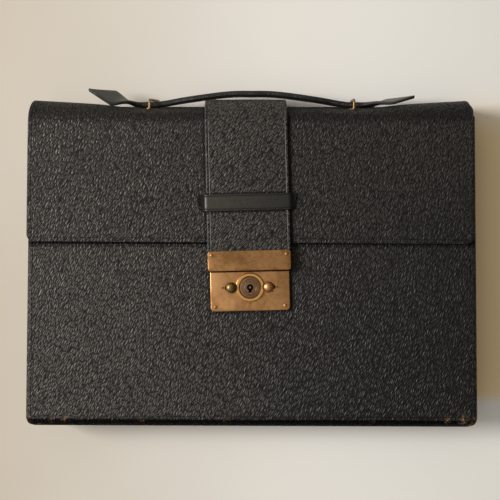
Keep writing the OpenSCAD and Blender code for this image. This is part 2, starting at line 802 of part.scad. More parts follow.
// Angles by which the spine's surface slopes along X and along Z
function slopes(x, z, d) = let (step = 0.5) [
    atan((spine_y(x + step, z, d) - spine_y(x - step, z, d)) / (2 * step)),
    atan((spine_y(x, z + step, d) - spine_y(x, z - step, d)) / (2 * step))];

// How far a burr reaches below the inner surface, along Y
function burr_depth(x, z) = (2 * seat + washer_t) / cos(slopes(x, z, flap_t)[1]);

// Four discs that lie square on the spine, at a depth under its surface and a height over that
module leg_discs(depth, height) {
    leg_holes() for (p = leg_places()) {
        tilt = slopes(p[0], p[1], depth);
        translate([p[0], spine_y(p[0], p[1], depth), p[1]])
            rotate([0, 0, tilt[0]]) rotate([-90 - tilt[1], 0, 0])
                translate([0, 0, height]) cylinder(r = washer_r, h = washer_t, $fn = 32);
    }
}

module loop_washers() { color("#b98252") leg_discs(0, 1.6 * seat); }

// The inner burrs are pressed flat on the legs' ends
module loop_burrs() { color("#b98252") leg_discs(flap_t, -2 * seat - washer_t); }

// The flap

function flap_outline(inset, top) = rounded(flap_left + inset, flap_right - inset, flap_end_y + inset, top,
    [max(flap_corner_r - inset, 0), max(flap_corner_r - inset, 0), 0, 0]);

flap_top_y = crease_y - crease_half;

module keeper_slots(z, foot) {
    in_x = keeper_span / 2 - keeper_t - fit - foot;
    out_x = keeper_span / 2 + fit;
    closure() for (s = [-1, 1]) translate([s < 0 ? -out_x : in_x, keeper_up - keeper_w / 2 - fit, z[0]])
        cube([out_x - in_x, keeper_w + 2 * fit, z[1] - z[0]]);
}

module flap_cover() {
    color("#1f1e1f") difference() {
        translate([0, 0, flap_low]) linear_extrude(flap_t) polygon(flap_outline(0, flap_top_y));
        translate([0, 0, flap_low - 1]) linear_extrude(flap_t - leather_t + 1)
            polygon(flap_outline(turn_in, big));
        keeper_slots([flap_top - leather_t - 1, flap_top + 1], 0);
    }
}

module flap_board() {
    color("tan") difference() {
        translate([0, 0, flap_low + lining_t]) linear_extrude(flap_board_t)
            polygon(flap_outline(turn_in, flap_top_y));
        keeper_slots([flap_low + lining_t - 1, flap_top], keeper_foot);
    }
}

module flap_lining() {
    color("#4a3b35") translate([0, 0, flap_low]) linear_extrude(lining_t)
        polygon(flap_outline(turn_in, flap_top_y));
}

module crease_leather() {
    xs = concat([flap_left], spine_stations(), [flap_right]);
    color("#1f1e1f") sheet(xs, [-crease_half, 0, crease_half - fit], 0, flap_t, spine_sag, loop_pull);
}

function hasp_rivet_places() =
    [for (s = [-1, 1]) [s * hasp_rivet_span / 2, hasp_high - hasp_rivet_drop]];

module strap_flap() {
    z = [flap_top, strap_top];
    color("#262524") intersection() {
        closure() drilled(hasp_rivet_r, hasp_rivet_places()) difference() {
            union() {
                box([-hasp_inner, hasp_inner], [hasp_end, hasp_high + 1], z);
                box([-strap_w / 2, strap_w / 2], [hasp_high, big / 2], z);
            }
            staple_tenons(flap_top - 1, flap_top + 0.6, fit);
        }
        box([-big, big], [-big, crease_y - strap_free], [0, big]);
    }
}

module strap_crease() {
    bend = [for (i = [-4 : 4]) strap_free * i / 4];
    color("#262524") sheet(strap_stations(), bend, -strap_t, 0, strap_sag);
}

module keeper() {
    half = keeper_span / 2;
    floor_z = flap_low + lining_t;
    foot_t = min(keeper_t, flap_board_t) - 0.2;
    inner = half - keeper_t;
    over = strap_top + 0.1;
    color("#33302a") closure() translate([0, keeper_up + keeper_w / 2, 0]) rotate([90, 0, 0])
        linear_extrude(keeper_w) {
            difference() {
                polygon(rounded(-half, half, floor_z, over + keeper_t, [0, 0, 3, 3]));
                polygon(rounded(-inner, inner, floor_z - 1, over, [0, 0, 1.5, 1.5]));
            }
            for (s = [-1, 1]) translate([s < 0 ? -inner - 0.1 : inner - keeper_foot + 0.1, floor_z])
                square([keeper_foot, foot_t]);
        }
}

module hasp_plate() {
    half = hasp_w / 2;
    foot = hasp_foot;
    color("#b98252") closure() drilled(hasp_rivet_r, hasp_rivet_places()) difference() {
        translate([0, 0, foot]) linear_extrude(hasp_top - foot)
            polygon(rounded(-half, half, hasp_low, hasp_high, [hasp_r, hasp_r, hasp_r, hasp_r]));
        box([-half + hasp_t, half - hasp_t], [hasp_low + hasp_t, big], [0, strap_top]);
    }
}

module staple_tenons(z0, z1, gap) {
    for (s = [-1, 1])
        box(about(s * staple_x, tenon_t + 2 * gap), about(staple_up, tenon_w + 2 * gap), [z0, z1]);
}

module hasp_back() {
    color("#9a6a40") closure() drilled(hasp_rivet_r, hasp_rivet_places()) difference() {
        box([-hasp_inner, hasp_inner], [hasp_end, hasp_high - 0.5], [flap_top - hasp_back_t, flap_top]);
        staple_tenons(0, big, 0);
    }
}

// Two plates with an eye for the bolt and a window for the catch
module hasp_staples() {
    head = flap_top - hasp_back_t;
    eyes = [[bolt_z - 0.4, bolt_z + bolt_t + 0.4], [slider_z - 0.4, slider_z + slider_t + 0.3]];
    color("#9a6a40") closure() {
        difference() {
            for (s = [-1, 1])
                box(about(s * staple_x, staple_t), about(staple_up, staple_w), [staple_foot, head]);
            for (z = eyes) box([-big, big], about(staple_up, staple_eye), z);
        }
        staple_tenons(head - 0.2, flap_top + 0.5, 0);
    }
}

module hasp_rivets() {
    foot = flap_top - hasp_back_t;
    color("#9a6a40") closure() for (p = hasp_rivet_places()) translate([p[0], p[1], foot])
        rivet(hasp_rivet_r, hasp_top - foot, hasp_rivet_r + 0.6, 0.5);
}

// The handle: a strap that follows X, with its width along Z and its thickness along Y
function ramp(x, from, to) = let (t = min(max((x - from) / (to - from), 0), 1)) t * t * (3 - 2 * t);
function line(x, from, to) = min(max((x - from) / (to - from), 0), 1);

arch_k = (handle_rise + handle_dip) / (arch_turn * arch_end);

function handle_y(a, curl) =
    a < arch_turn ? handle_mid_y - arch_k * a * a :
    a < arch_end ? handle_loop_y + arch_k * arch_turn / (arch_end - arch_turn) * pow(arch_end - a, 2) :
    handle_loop_y + curl * pow(max(a - curl_from, 0) / (tip_at - curl_from), 1.3);

function handle_half_w(a) =
    a < neck_to ? (grip_w + (neck_w - grip_w) * ramp(a, 0.5 * neck_from, neck_from)) / 2 :
    a < tab_at ? (neck_w + (tab_w - neck_w) * line(a, neck_to, tab_at)) / 2 :
    tab_w / 2 + (edge_cut - tab_w / 2) * line(a, tab_at, tip_at);

function handle_half_t(a) =
    (handle_t - (handle_t - tab_t) * line(a, thin_from, thin_to)
        - (tab_t - tip_t) * line(a, thin_to, tip_at)) / 2;

// A rectangle with its corners cut off, from its half thickness, half width and cut
function cut_corners(t, w, c) =
    [[t, w - c], [t - c, w], [c - t, w], [-t, w - c], [-t, c - w], [c - t, -w], [t - c, -w], [t, c - w]];

// One section of the handle, turned about the strap's middle by its lean and its tab's twist
function handle_ring(x, curl, twist, shift) =
    let (a = abs(x), w = handle_half_w(a), t = handle_half_t(a),
         turn = handle_lean * (1 - ramp(a, neck_from, tab_at)) + twist * ramp(a, twist_from, tab_at),
         middle = [handle_y(a, curl), handle_z + shift * ramp(a, curl_from, tab_at)])
    [for (p = cut_corners(t, w, min(edge_cut, t / 2, w / 2)))
        [x, middle[0] + p[0] * cos(turn) - p[1] * sin(turn),
         middle[1] + p[0] * sin(turn) + p[1] * cos(turn)]];

module handle_strap(xs, curl = 0, twist = 0, shift = 0) {
    rings = [for (x = xs) handle_ring(x, curl, twist, shift)];
    last = 8 * (len(xs) - 1);
    polyhedron([for (r = rings) for (p = r) p], concat(
        [[for (k = [7 : -1 : 0]) k]],
        [for (i = [0 : len(xs) - 2]) for (k = [0 : 7]) for (t = [
            [8 * i + k, 8 * i + (k + 1) % 8, 8 * i + 8 + (k + 1) % 8],
            [8 * i + k, 8 * i + 8 + (k + 1) % 8, 8 * i + 8 + k]]) t],
        [[for (k = [0 : 7]) last + k]]));
}

function steps(from, to, count) = [for (i = [0 : count]) from + (to - from) * i / count];

module handle_grip() { color("#1c1b1b") handle_strap(steps(-grip_half, grip_half, 8)); }

module left_handle_link() { color("#1c1b1b") handle_strap(steps(-neck_from, -grip_half, 8)); }

module right_handle_link() { color("#1c1b1b") handle_strap(steps(grip_half, neck_from, 8)); }

module left_handle_end() {
    color("#1c1b1b") handle_strap(concat(steps(-tip_at, -tab_at, 6), steps(2 - tab_at, -neck_from, 10)),
        left_curl, left_twist, left_shift);
}

module right_handle_end() {
    color("#1c1b1b") handle_strap(concat(steps(neck_from, tab_at - 2, 10), steps(tab_at, tip_at, 6)),
        right_curl, right_twist);
}

back_cover();
back_board();
back_lining();
front_cover();
front_board();
front_lining();
wall_cover();
left_wall_board();
right_wall_board();
bottom_wall_board();
wall_lining();
divider();
letter_pocket();
lock_plate();
lock_case();
lock_rivets();
key_escutcheon();
key_post();
lock_pins();
left_spring();
right_spring();
spine_cover();
spine_board();
spine_lining();
back_hinge_leather();
strap_spine();
left_handle_loop();
right_handle_loop();
loop_washers();
loop_burrs();
flap_cover();
flap_board();
flap_lining();
crease_leather();
strap_flap();
strap_crease();
keeper();
hasp_plate();
hasp_back();
hasp_staples();
hasp_rivets();
handle_grip();
left_handle_link();
right_handle_link();
left_handle_end();
right_handle_end();
left_stud();
left_slider();
right_stud();
right_slider();
lock_bolt();
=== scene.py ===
# %% [markdown]
# Dressing a flap-over leather writing case.
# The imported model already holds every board, rivet and spring at its real size. What it lacks is
# what the hand and the eye meet: black grained leather that folds round its boards, a strap with
# painted edges, brass that has gone brown, a stitched handle. This lesson makes those in Blender,
# one piece at a time, and leaves the hard parts where they are.

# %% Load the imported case
import json
import math
import bmesh
import bpy
import numpy as np
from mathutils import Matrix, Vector, noise


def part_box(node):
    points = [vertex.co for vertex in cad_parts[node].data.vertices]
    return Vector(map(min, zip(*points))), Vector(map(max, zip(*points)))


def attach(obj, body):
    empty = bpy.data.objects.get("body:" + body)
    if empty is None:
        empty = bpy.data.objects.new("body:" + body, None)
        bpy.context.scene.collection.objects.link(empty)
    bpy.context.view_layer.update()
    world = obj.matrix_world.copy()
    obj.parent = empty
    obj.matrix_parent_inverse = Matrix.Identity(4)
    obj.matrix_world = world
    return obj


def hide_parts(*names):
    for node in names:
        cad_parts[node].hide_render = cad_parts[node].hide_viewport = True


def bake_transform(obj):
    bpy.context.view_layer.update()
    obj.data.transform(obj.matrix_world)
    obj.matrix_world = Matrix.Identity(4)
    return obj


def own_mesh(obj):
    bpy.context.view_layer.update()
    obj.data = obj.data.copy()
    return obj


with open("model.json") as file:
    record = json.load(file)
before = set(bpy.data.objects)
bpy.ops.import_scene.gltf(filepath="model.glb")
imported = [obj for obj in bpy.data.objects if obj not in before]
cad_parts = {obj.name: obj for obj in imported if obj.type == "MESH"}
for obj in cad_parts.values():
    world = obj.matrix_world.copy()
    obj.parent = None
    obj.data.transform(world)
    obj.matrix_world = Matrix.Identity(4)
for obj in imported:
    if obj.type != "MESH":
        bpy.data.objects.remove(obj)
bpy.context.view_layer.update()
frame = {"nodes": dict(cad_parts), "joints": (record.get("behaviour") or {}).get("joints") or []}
print("nodes:", len(frame["nodes"]))

# %% [markdown]
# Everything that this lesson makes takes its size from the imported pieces, so that a new skin lies
# where the plain one was. Lengths are in metres, and mm turns a number of millimetres into them.
# Only the few sizes that no box can tell, such as the height where the roll begins, are given.

# %% Sizes read from the frame
mm = 0.001
joints = {joint["name"]: joint for joint in frame["joints"]}

front_box, flap_box, back_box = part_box("front_cover"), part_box("flap_cover"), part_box("back_cover")
half_w, front_z = front_box[1].x, front_box[1].z
bottom_y = front_box[0].y
top_y, spine_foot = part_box("back_hinge_leather")[1].yz
flap_left, flap_right = flap_box[0].x, flap_box[1].x
flap_end_y = flap_box[0].y
crease_y, flap_top = joints["flap_hinge"]["pos_m"][1:]
flap_t = flap_top - flap_box[0].z
roll_start = 22 * mm
roll_run = top_y - crease_y
roll_rise = flap_top - roll_start
roll_arc = (roll_run + roll_rise) * math.pi / 4
spine_end = roll_arc + roll_start - spine_foot
leather_t = 1 * mm
turn_in = 3.5 * mm
spine_gap = 0.6 * mm
print(f"case {2 * half_w / mm:.0f} mm wide, {(top_y - bottom_y) / mm:.0f} high, {front_z / mm:.0f} deep")

# %% [markdown]
# A modeller works with the mouse: select, then act. Here the selecting is done by a test on each
# edge or face, and the acting by the same operators that the menus call. These helpers keep one
# habit: before a piece is edited, everything else is deselected.

# %% Helpers for selecting
def activate(piece):
    if bpy.context.object and bpy.context.object.mode == "EDIT":
        bpy.ops.object.mode_set(mode="OBJECT")
    bpy.ops.object.select_all(action="DESELECT")
    piece.select_set(True)
    bpy.context.view_layer.objects.active = piece


def edit(piece):
    activate(piece)
    bpy.ops.object.mode_set(mode="EDIT")
    bpy.ops.mesh.select_all(action="DESELECT")


def leave_edit():
    bpy.ops.object.mode_set(mode="OBJECT")


def choose(piece, kind, test):
    """In edit mode, select only the edges or faces that pass a test."""
    bpy.ops.mesh.select_mode(type=kind)
    bpy.ops.mesh.select_all(action="DESELECT")
    mesh = bmesh.from_edit_mesh(piece.data)
    for part in mesh.edges if kind == "EDGE" else mesh.faces:
        if test(part):
            part.select_set(True)
    mesh.select_flush_mode()
    bmesh.update_edit_mesh(piece.data)


def middle(part):
    if isinstance(part, bmesh.types.BMEdge):
        return (part.verts[0].co + part.verts[1].co) / 2
    return part.calc_center_median()


def near(value, target, within=0.05 * mm):
    return abs(value - target) < within


def faces_down(face):
    return face.normal.z < -0.9


def is_rim(edge, height):
    """True for an edge at this height where a level face meets an upright one."""
    return (near(middle(edge).z, height) and len(edge.link_faces) == 2
            and any(abs(face.normal.z) < 0.1 for face in edge.link_faces))


# %% [markdown]
# A piece starts as a block or a rod at its size and place. The place goes into its mesh at once,
# so that the object itself stays at the origin, and every later test can use true coordinates.

# %% Helpers that start a piece
def start(name):
    """Name the primitive that was just added and put its place into its mesh."""
    piece = bpy.context.object
    piece.name = piece.data.name = name
    activate(piece)
    bpy.ops.object.transform_apply(location=True, rotation=True, scale=True)
    return piece


def slab(name, x, y, z):
    bpy.ops.object.select_all(action="DESELECT")
    spans = (x, y, z)
    bpy.ops.mesh.primitive_cube_add(size=1, location=[sum(s) / 2 for s in spans],
                                    scale=[s[1] - s[0] for s in spans])
    return start(name)


def rod(name, radius, z, place=(0, 0), sides=48):
    bpy.ops.object.select_all(action="DESELECT")
    bpy.ops.mesh.primitive_cylinder_add(vertices=sides, radius=radius, depth=z[1] - z[0],
                                        location=(place[0], place[1], sum(z) / 2))
    return start(name)


# %% [markdown]
# The same few moves then shape it: an edge is rounded, a face is pulled up or down, a plane cuts
# it into slices. A slice is what lets a flat face bend later. Three close rows make a line that
# can be pressed in: the middle one sinks, and its neighbours hold the leather beside it.

# %% Helpers for edit mode
def round_edges(piece, test, radius, segments):
    choose(piece, "EDGE", test)
    bpy.ops.mesh.bevel(offset=radius, segments=segments, affect="EDGES")


def extrude(rise):
    bpy.ops.mesh.extrude_region_move(TRANSFORM_OT_translate={"value": (0, 0, rise)})


def bisect(point, normal, **sides):
    """Cut the whole piece by a plane, and clear the side that is named, if one is."""
    bpy.ops.mesh.select_all(action="SELECT")
    bpy.ops.mesh.bisect(plane_co=point, plane_no=normal, **sides)


def cut_across(piece, axis, cuts):
    """Cut new edges through the whole piece, square to one axis, at each of these places."""
    edit(piece)
    normal = [float(axis == i) for i in range(3)]
    for place in cuts:
        bisect([place * part for part in normal], normal)
    leave_edit()


def places(start_at, end_at, step):
    count = max(1, round(abs(end_at - start_at) / step))
    return [start_at + (end_at - start_at) * i / count for i in range(1, count)]


def groove_rows(place, apart):
    return [place + k * apart for k in (-1, 0, 1)]


def on_both_sides(places_right):
    return [side * place for side in (-1, 1) for place in places_right]


# %% [markdown]
# Last, a piece is bent or rippled as a whole, and gets its finish. Bending moves every vertex by
# one rule, as a large soft brush would. A piece with two finishes gives the second to some faces.

# %% Helpers for bending and finishing
def shape(piece, rule):
    """Move every vertex of a piece by a rule on an array of points."""
    points = np.empty(len(piece.data.vertices) * 3)
    piece.data.vertices.foreach_get("co", points)
    moved = rule(points.reshape(-1, 3).copy())
    piece.data.vertices.foreach_set("co", moved.ravel())
    piece.data.update()


def tidy_normals(piece, merge=True):
    edit(piece)
    bpy.ops.mesh.select_all(action="SELECT")
    if merge:
        bpy.ops.mesh.remove_doubles(threshold=0.005 * mm)
    bpy.ops.mesh.normals_make_consistent(inside=False)
    leave_edit()


def finish_modifier(piece, kind, **settings):
    activate(piece)
    modifier = piece.modifiers.new(kind.title(), kind)
    for name, value in settings.items():
        setattr(modifier, name, value)
    bpy.ops.object.modifier_apply(modifier=modifier.name)


def cut_away(piece, cutter):
    finish_modifier(piece, "BOOLEAN", operation="DIFFERENCE", object=cutter, solver="EXACT")
    bpy.data.objects.remove(cutter)


def dress(piece, *materials, angle=35):
    """Give a piece its materials, and shade it smooth but for edges sharper than an angle."""
    for material in materials:
        piece.data.materials.append(material)
    activate(piece)
    bpy.ops.object.shade_smooth_by_angle(angle=math.radians(angle))


def give_second(piece, test):
    for face in piece.data.polygons:
        face.material_index = int(test(face))


def size_of(piece):
    points = np.array([vertex.co for vertex in piece.data.vertices])
    spans = (points.max(0) - points.min(0)) / mm
    return " x ".join(f"{span:.1f}" for span in spans) + f" mm, {len(piece.data.polygons)} faces"


# %% [markdown]
# The spine and its roll are one curve, seen from the side: flat on the flap, a quarter of an
# ellipse over the edge, then straight down the spine. A leather worker cuts flap and spine flat
# and wraps them over that roll. The same is done here: pieces are modelled flat, with the tooled
# lines and turned edges that are easy on a flat piece, and one function wraps them. Years of
# carrying have sunk the spine, most of all at the two loops of the handle.

# %% The roll, the sag and the wrap
loop_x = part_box("right_handle_loop")[0].x / 2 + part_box("right_handle_loop")[1].x / 2
spine_sag = 5.5 * mm
loop_pull = 3.4 * mm
strap_sag = 2.3 * mm
dip_w = 0.26 * loop_x


def hollow(x, amount, pull):
    dip = pull * np.exp(-((np.abs(x) - loop_x) / dip_w) ** 2 / 2)
    dip *= np.clip((half_w - np.abs(x)) / dip_w, 0, 1)
    return amount * np.maximum(1 - (x / half_w) ** 2, 0) + dip


def sag_share(z):
    rise = np.clip((z - spine_foot) / (flap_top - spine_foot), 0, 1)
    return np.sin(math.pi * rise) ** 0.6


def on_roll(along, depth):
    turn = math.pi / 2 * along / roll_arc
    y = np.where(along <= 0, crease_y + along,
                 np.where(along <= roll_arc, crease_y + (roll_run - depth) * np.sin(turn), top_y - depth))
    z = np.where(along <= 0, flap_top - depth,
                 np.where(along <= roll_arc, roll_start + (roll_rise - depth) * np.cos(turn),
                          roll_start + roll_arc - along))
    return y, z


def wrap(piece, amount, pull):
    """Bend a piece that was modelled flat, at the flap's height, over the roll and down the spine."""
    def rule(p):
        along, depth = p[:, 1] - crease_y, flap_top - p[:, 2]
        y, z = on_roll(along, depth)
        surface_z = on_roll(along, 0 * depth)[1]
        p[:, 1] = y - hollow(p[:, 0], amount, pull) * sag_share(surface_z)
        p[:, 2] = z
        return p
    shape(piece, rule)


def ripple(x, y, size, seed):
    return np.array([noise.noise((a / size, b / size, seed)) for a, b in zip(x, y)])


print(f"the roll is {roll_arc / mm:.1f} mm long, the spine sinks {spine_sag / mm:.1f} mm")

# %% [markdown]
# The lock and the hasp sit a little askew on the real case, and so does the strap that the hasp
# is riveted to. They are modelled square, round the middle of the keyhole, and turned together.

# %% The lock's own frame
catch_axis = joints["right_catch_slide"]["axis"]
skew = math.atan2(catch_axis[1], catch_axis[0])
post_low, post_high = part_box("key_post")
keyhole = Vector(((post_low.x + post_high.x) / 2, (post_low.y + post_high.y) / 2, 0))
plate_half, plate_below, plate_above = 31.2 * mm, 18.5 * mm, 26.2 * mm
hasp_low, strap_half = 13.1 * mm, 32.5 * mm
keeper_up, keeper_half_w = 66.5 * mm, 6.5 * mm


def turn_with_lock(piece):
    piece.location = keyhole
    piece.rotation_euler.z = skew
    activate(piece)
    bpy.ops.object.transform_apply(location=True, rotation=True, scale=True)


print(f"keyhole at {keyhole.x / mm:.1f}, {keyhole.y / mm:.1f} mm, askew by {math.degrees(skew):.1f} degrees")

# %% [markdown]
# Materials are small networks of nodes. This helper adds one node and fills its sockets, with a
# plain value or with another node's output, so that each network reads from top to bottom.

# %% A helper for materials
class Network:
    """A tree of shader nodes, with short ways to add to it."""

    def __init__(self, tree):
        self.tree = tree
        self.place = self.node("ShaderNodeTexCoord").outputs["Object"]

    def node(self, kind, settings=None, **sockets):
        made = self.tree.nodes.new(kind)
        for name, value in (settings or {}).items():
            setattr(made, name, value)
        for name, value in sockets.items():
            number = name[1:]
            self.fill(made.inputs[int(number) if number.isdigit() else name.replace("_", " ")], value)
        return made

    def fill(self, socket, value):
        if isinstance(value, bpy.types.NodeSocket):
            self.tree.links.new(value, socket)
        else:
            socket.default_value = value

    def parts(self, place=None):
        return self.node("ShaderNodeSeparateXYZ", Vector=place or self.place).outputs

    def stretched(self, scale):
        return self.node("ShaderNodeMapping", Vector=self.place, Scale=scale).outputs["Vector"]

    def noise(self, scale, detail=3, place=None, roughness=0.5):
        return self.node("ShaderNodeTexNoise", Vector=place or self.place, Scale=scale, Detail=detail,
                         Roughness=roughness).outputs["Fac"]

    def math(self, operation, a, b=0.0, clamp=False):
        made = self.node("ShaderNodeMath", {"operation": operation, "use_clamp": clamp}, _0=a, _1=b)
        return made.outputs[0]

    def times(self, a, b):
        return self.math("MULTIPLY", a, b)

    def plus(self, a, b, clamp=False):
        return self.math("ADD", a, b, clamp)

    def less(self, a, b):
        return self.math("SUBTRACT", a, b)

    def away(self, value, centre=0.0):
        return self.math("ABSOLUTE", self.less(value, centre))

    def span(self, value, low, high, to_low=0.0, to_high=1.0):
        return self.node("ShaderNodeMapRange", {"interpolation_type": "SMOOTHSTEP"}, Value=value,
                         From_Min=low, From_Max=high, To_Min=to_low, To_Max=to_high).outputs["Result"]

    def mix(self, share, a, b):
        return self.node("ShaderNodeMix", {"data_type": "RGBA"}, _0=share, _6=a, _7=b).outputs[2]

    def bump(self, height, strength, distance):
        made = self.node("ShaderNodeBump", Height=height, Strength=strength, Distance=distance)
        return made.outputs["Normal"]


class Finish(Network):
    """The network of one material, which ends in its surface."""

    def __init__(self, name):
        self.material = bpy.data.materials.new(name)
        self.material.use_nodes = True
        super().__init__(self.material.node_tree)
        self.surface = next(n for n in self.tree.nodes if n.type == "BSDF_PRINCIPLED")

    def set(self, **sockets):
        for name, value in sockets.items():
            self.fill(self.surface.inputs[name.replace("_", " ")], value)
        return self.material


def grey(r, g, b):
    """A colour as a paint chart gives it, 0 to 255, turned into the linear values of a shader."""
    def linear(c):
        c /= 255
        return c / 12.92 if c <= 0.04045 else ((c + 0.055) / 1.055) ** 2.4
    return (linear(r), linear(g), linear(b), 1)


# %% [markdown]
# Where hands and tables have rubbed the dye off the leather, at corners and edges, brown shows.
# Those places are listed here, each with its size and strength. A fine noise breaks their
# rims into flakes.

# %% Where the dye is worn off
worn_places = [                                    # place in mm, radius in mm, strength
    ((-177, 127, 20), 9, 1.0), ((-175, 119, 33), 9, 0.7), ((-177, -122, 33), 16, 1.25),
    ((-157, -124, 39.5), 9, 0.75), ((-146, -124, 39.5), 9, 0.9), ((-85, -125, 39.5), 8, 0.75),
    ((-20, -125, 39.5), 9, 0.6), ((177, -127, 32), 17, 1.4), ((166, -124, 39), 11, 1.0),
    ((153, -124, 39.5), 9, 0.85), ((176, 104, 41), 7, 0.9), ((176, 78, 41), 6, 0.9),
    ((173, 127, 22), 10, 0.9), ((173, 15, 42), 8, 0.7), ((-176, 15, 42), 8, 0.7),
    ((95, -125, 39.5), 9, 0.6), ((177, -60, 38), 7, 0.8), ((-177.5, -104, 36), 9, 1.0),
    ((-167, -129, 34), 9, 1.0),
]


def wear(finish):
    """How far the dye is worn off, from 0 to 1: the nearest of the places, broken up by a noise."""
    total = 0.0
    for place, radius, strength in worn_places:
        away = finish.node("ShaderNodeVectorMath", {"operation": "DISTANCE"}, _0=finish.place,
                           _1=[c * mm for c in place]).outputs["Value"]
        total = finish.math("MAXIMUM", total, finish.span(away, 0.0, radius * mm, strength, 0.0))
    flakes = finish.times(finish.noise(640, 8, roughness=0.75), 3.0)
    return finish.span(finish.plus(total, flakes), 2.15, 2.4)


print("worn places:", len(worn_places))

# %% [markdown]
# Shade is painted into the leather's colour where it falls: on the bottom roll, in the gap under the
# flap, in a rim round the lock's plate, which is the plate's shadow, and on the flap at its roll and
# along the strap's edges, which cast a shadow. Each is a band across one coordinate, dark in its middle and
# soft at its sides.

# %% Painted shade on the leather
painted_shade_roll = 6.6 * mm
shade_rim_w = 2 * mm


def in_lock_parts(finish):
    """Object coordinates turned and moved to the lock's own frame, as separate outputs."""
    return finish.parts(finish.node("ShaderNodeMapping", {"vector_type": "TEXTURE"}, Vector=finish.place,
                                    Location=keyhole, Rotation=(0, 0, skew)).outputs["Vector"])


def band(finish, value, centre, half, dark):
    """1 outside a band, falling to a dark value in the half of it that is nearest to its middle."""
    return finish.span(finish.away(value, centre), 0.5 * half, half, dark, 1.0)


# Painted shade, as a factor on the colour: on the case the bottom roll, the gap under the flap and the lock
# plate's shadow round it; on the flap its roll and the strap's shadow along both edges.
def painted_shade(finish, on_flap):
    y, lock = finish.parts()["Y"], in_lock_parts(finish)
    aside = finish.away(lock["X"])
    if on_flap:
        shades = (band(finish, y, top_y - 12 * mm, 13 * mm, 0.38),
                  band(finish, aside, strap_half + 0.6 * mm, shade_rim_w, 0.12))
    else:
        plate_y, plate_half_h = (plate_above - plate_below) / 2, (plate_above + plate_below) / 2
        plate_rim = finish.math("MAXIMUM", finish.less(aside, plate_half),
                                finish.less(finish.away(lock["Y"], plate_y), plate_half_h))
        shades = (finish.span(y, bottom_y + painted_shade_roll, bottom_y + painted_shade_roll + 2 * mm, 0.04, 1.0),
                  band(finish, y, flap_end_y - 1.2 * mm, 2.6 * mm, 0.1),
                  band(finish, plate_rim, 0.6 * mm, shade_rim_w, 0.12))
    light = 1.0
    for shade in shades:
        light = finish.times(shade, light)
    return light


# Painted shadow: the strap is darkened along both edges of the keeper that lies across it.
def painted_keeper_shadow(finish):
    up = finish.away(in_lock_parts(finish)["Y"], keeper_up)
    return band(finish, up, keeper_half_w + 0.3 * mm, 1.6 * mm, 0.1)


print(f"black up to {painted_shade_roll / mm:.1f} mm above the bottom")

# %% [markdown]
# The case is covered in goat leather, dyed black. Its grain is a net of small pebbles, about two
# millimetres wide and twice as long, that lean to the right, with black valleys between them. The
# pebbles' tops have been polished grey-brown, and are painted lighter towards the left and above,
# where the window's light falls, and darker towards the lower right: painted light. A Voronoi
# texture's distance to the edge gives the valleys, a stretched noise adds longer ridges, and another
# noise bends both. The flap, the shaded roll and the strap have finishes of their own.

# %% Grained leather
pebble_scale = 560


def painted_light_from_left(finish):
    """Painted light: 1 at the left and above, where the window's light falls, falling to 0 towards the lower
    right, in soft patches.
    """
    parts = finish.parts()
    fan = finish.less(1.0, finish.times(parts["Y"], 4.0))
    along = finish.times(finish.plus(parts["X"], 0.14), fan)
    return finish.span(finish.plus(along, finish.times(finish.noise(12, 3), 0.16)), 0.5, 0.0)


def grained_leather(name, lean=-27, worn=True, on_flap=False, shine=0.3,
                    dark=(33, 31, 29), light=(76, 70, 64)):
    finish = Finish(name)
    bend = finish.node("ShaderNodeTexNoise", Vector=finish.place, Scale=120.0, Detail=2.0)
    offset = finish.node("ShaderNodeVectorMath", {"operation": "SCALE"}, _0=bend.outputs["Color"],
                         Scale=1 * mm)
    bent = finish.node("ShaderNodeVectorMath", {"operation": "ADD"}, _0=finish.place, _1=offset.outputs[0])
    grain = finish.node("ShaderNodeMapping", {"vector_type": "TEXTURE"}, Vector=bent.outputs[0],
                        Rotation=(0, 0, math.radians(lean)), Scale=(0.85, 2.8, 1.3)).outputs["Vector"]
    edge = finish.node("ShaderNodeTexVoronoi", {"feature": "DISTANCE_TO_EDGE"}, Vector=grain,
                       Scale=pebble_scale).outputs["Distance"]
    waves = finish.noise(pebble_scale, 2, grain)
    relief = finish.plus(edge, finish.times(waves, 0.6))
    pebbles = finish.times(finish.span(edge, 0.0, 0.18), finish.span(waves, 0.35, 0.6, 0.6, 1.0))
    # Painted light: the tops are lighter at the left, where the window's light falls, darker to the lower
    # right.
    top = finish.mix(painted_light_from_left(finish), grey(*dark), grey(*light))
    # Painted shade: the shaded bands above, or on the strap the keeper's shadow.
    painted_light_share = painted_shade(finish, on_flap) if worn else painted_keeper_shadow(finish)
    colour = finish.mix(finish.times(pebbles, painted_light_share), grey(2, 2, 2), top)
    rough = finish.span(pebbles, 0, 1, 0.8, 0.4)
    if worn:
        rubbed = wear(finish)
        tan = finish.mix(finish.span(finish.noise(300, 4), 0.4, 0.62), grey(62, 47, 34), grey(126, 106, 80))
        colour = finish.mix(rubbed, colour, tan)
        rough = finish.plus(rough, finish.times(rubbed, 0.3), clamp=True)
        relief = finish.less(relief, finish.times(rubbed, 0.3))
    return finish.set(Base_Color=colour, Roughness=rough, Normal=finish.bump(relief, 1.0, 1.15 * mm),
                      Specular_IOR_Level=shine)


leather = grained_leather("Black goat leather")
flap_leather = grained_leather("Black goat leather, flap", on_flap=True)
shaded_leather = grained_leather("Black goat leather, in the shade", shine=0.05)
strap_leather = grained_leather("Black goat leather, strap", -38, worn=False, dark=(44, 41, 39),
                                light=(92, 86, 80))
print("leather nodes:", len(leather.node_tree.nodes))

# %% [markdown]
# The keeper, the handle and the painted edges are smooth calf: a fine even surface, with a soft
# shine where hands pass. The keeper has faded to a dark olive brown.

# %% Smooth leathers
keeper_line_in = 1.3 * mm


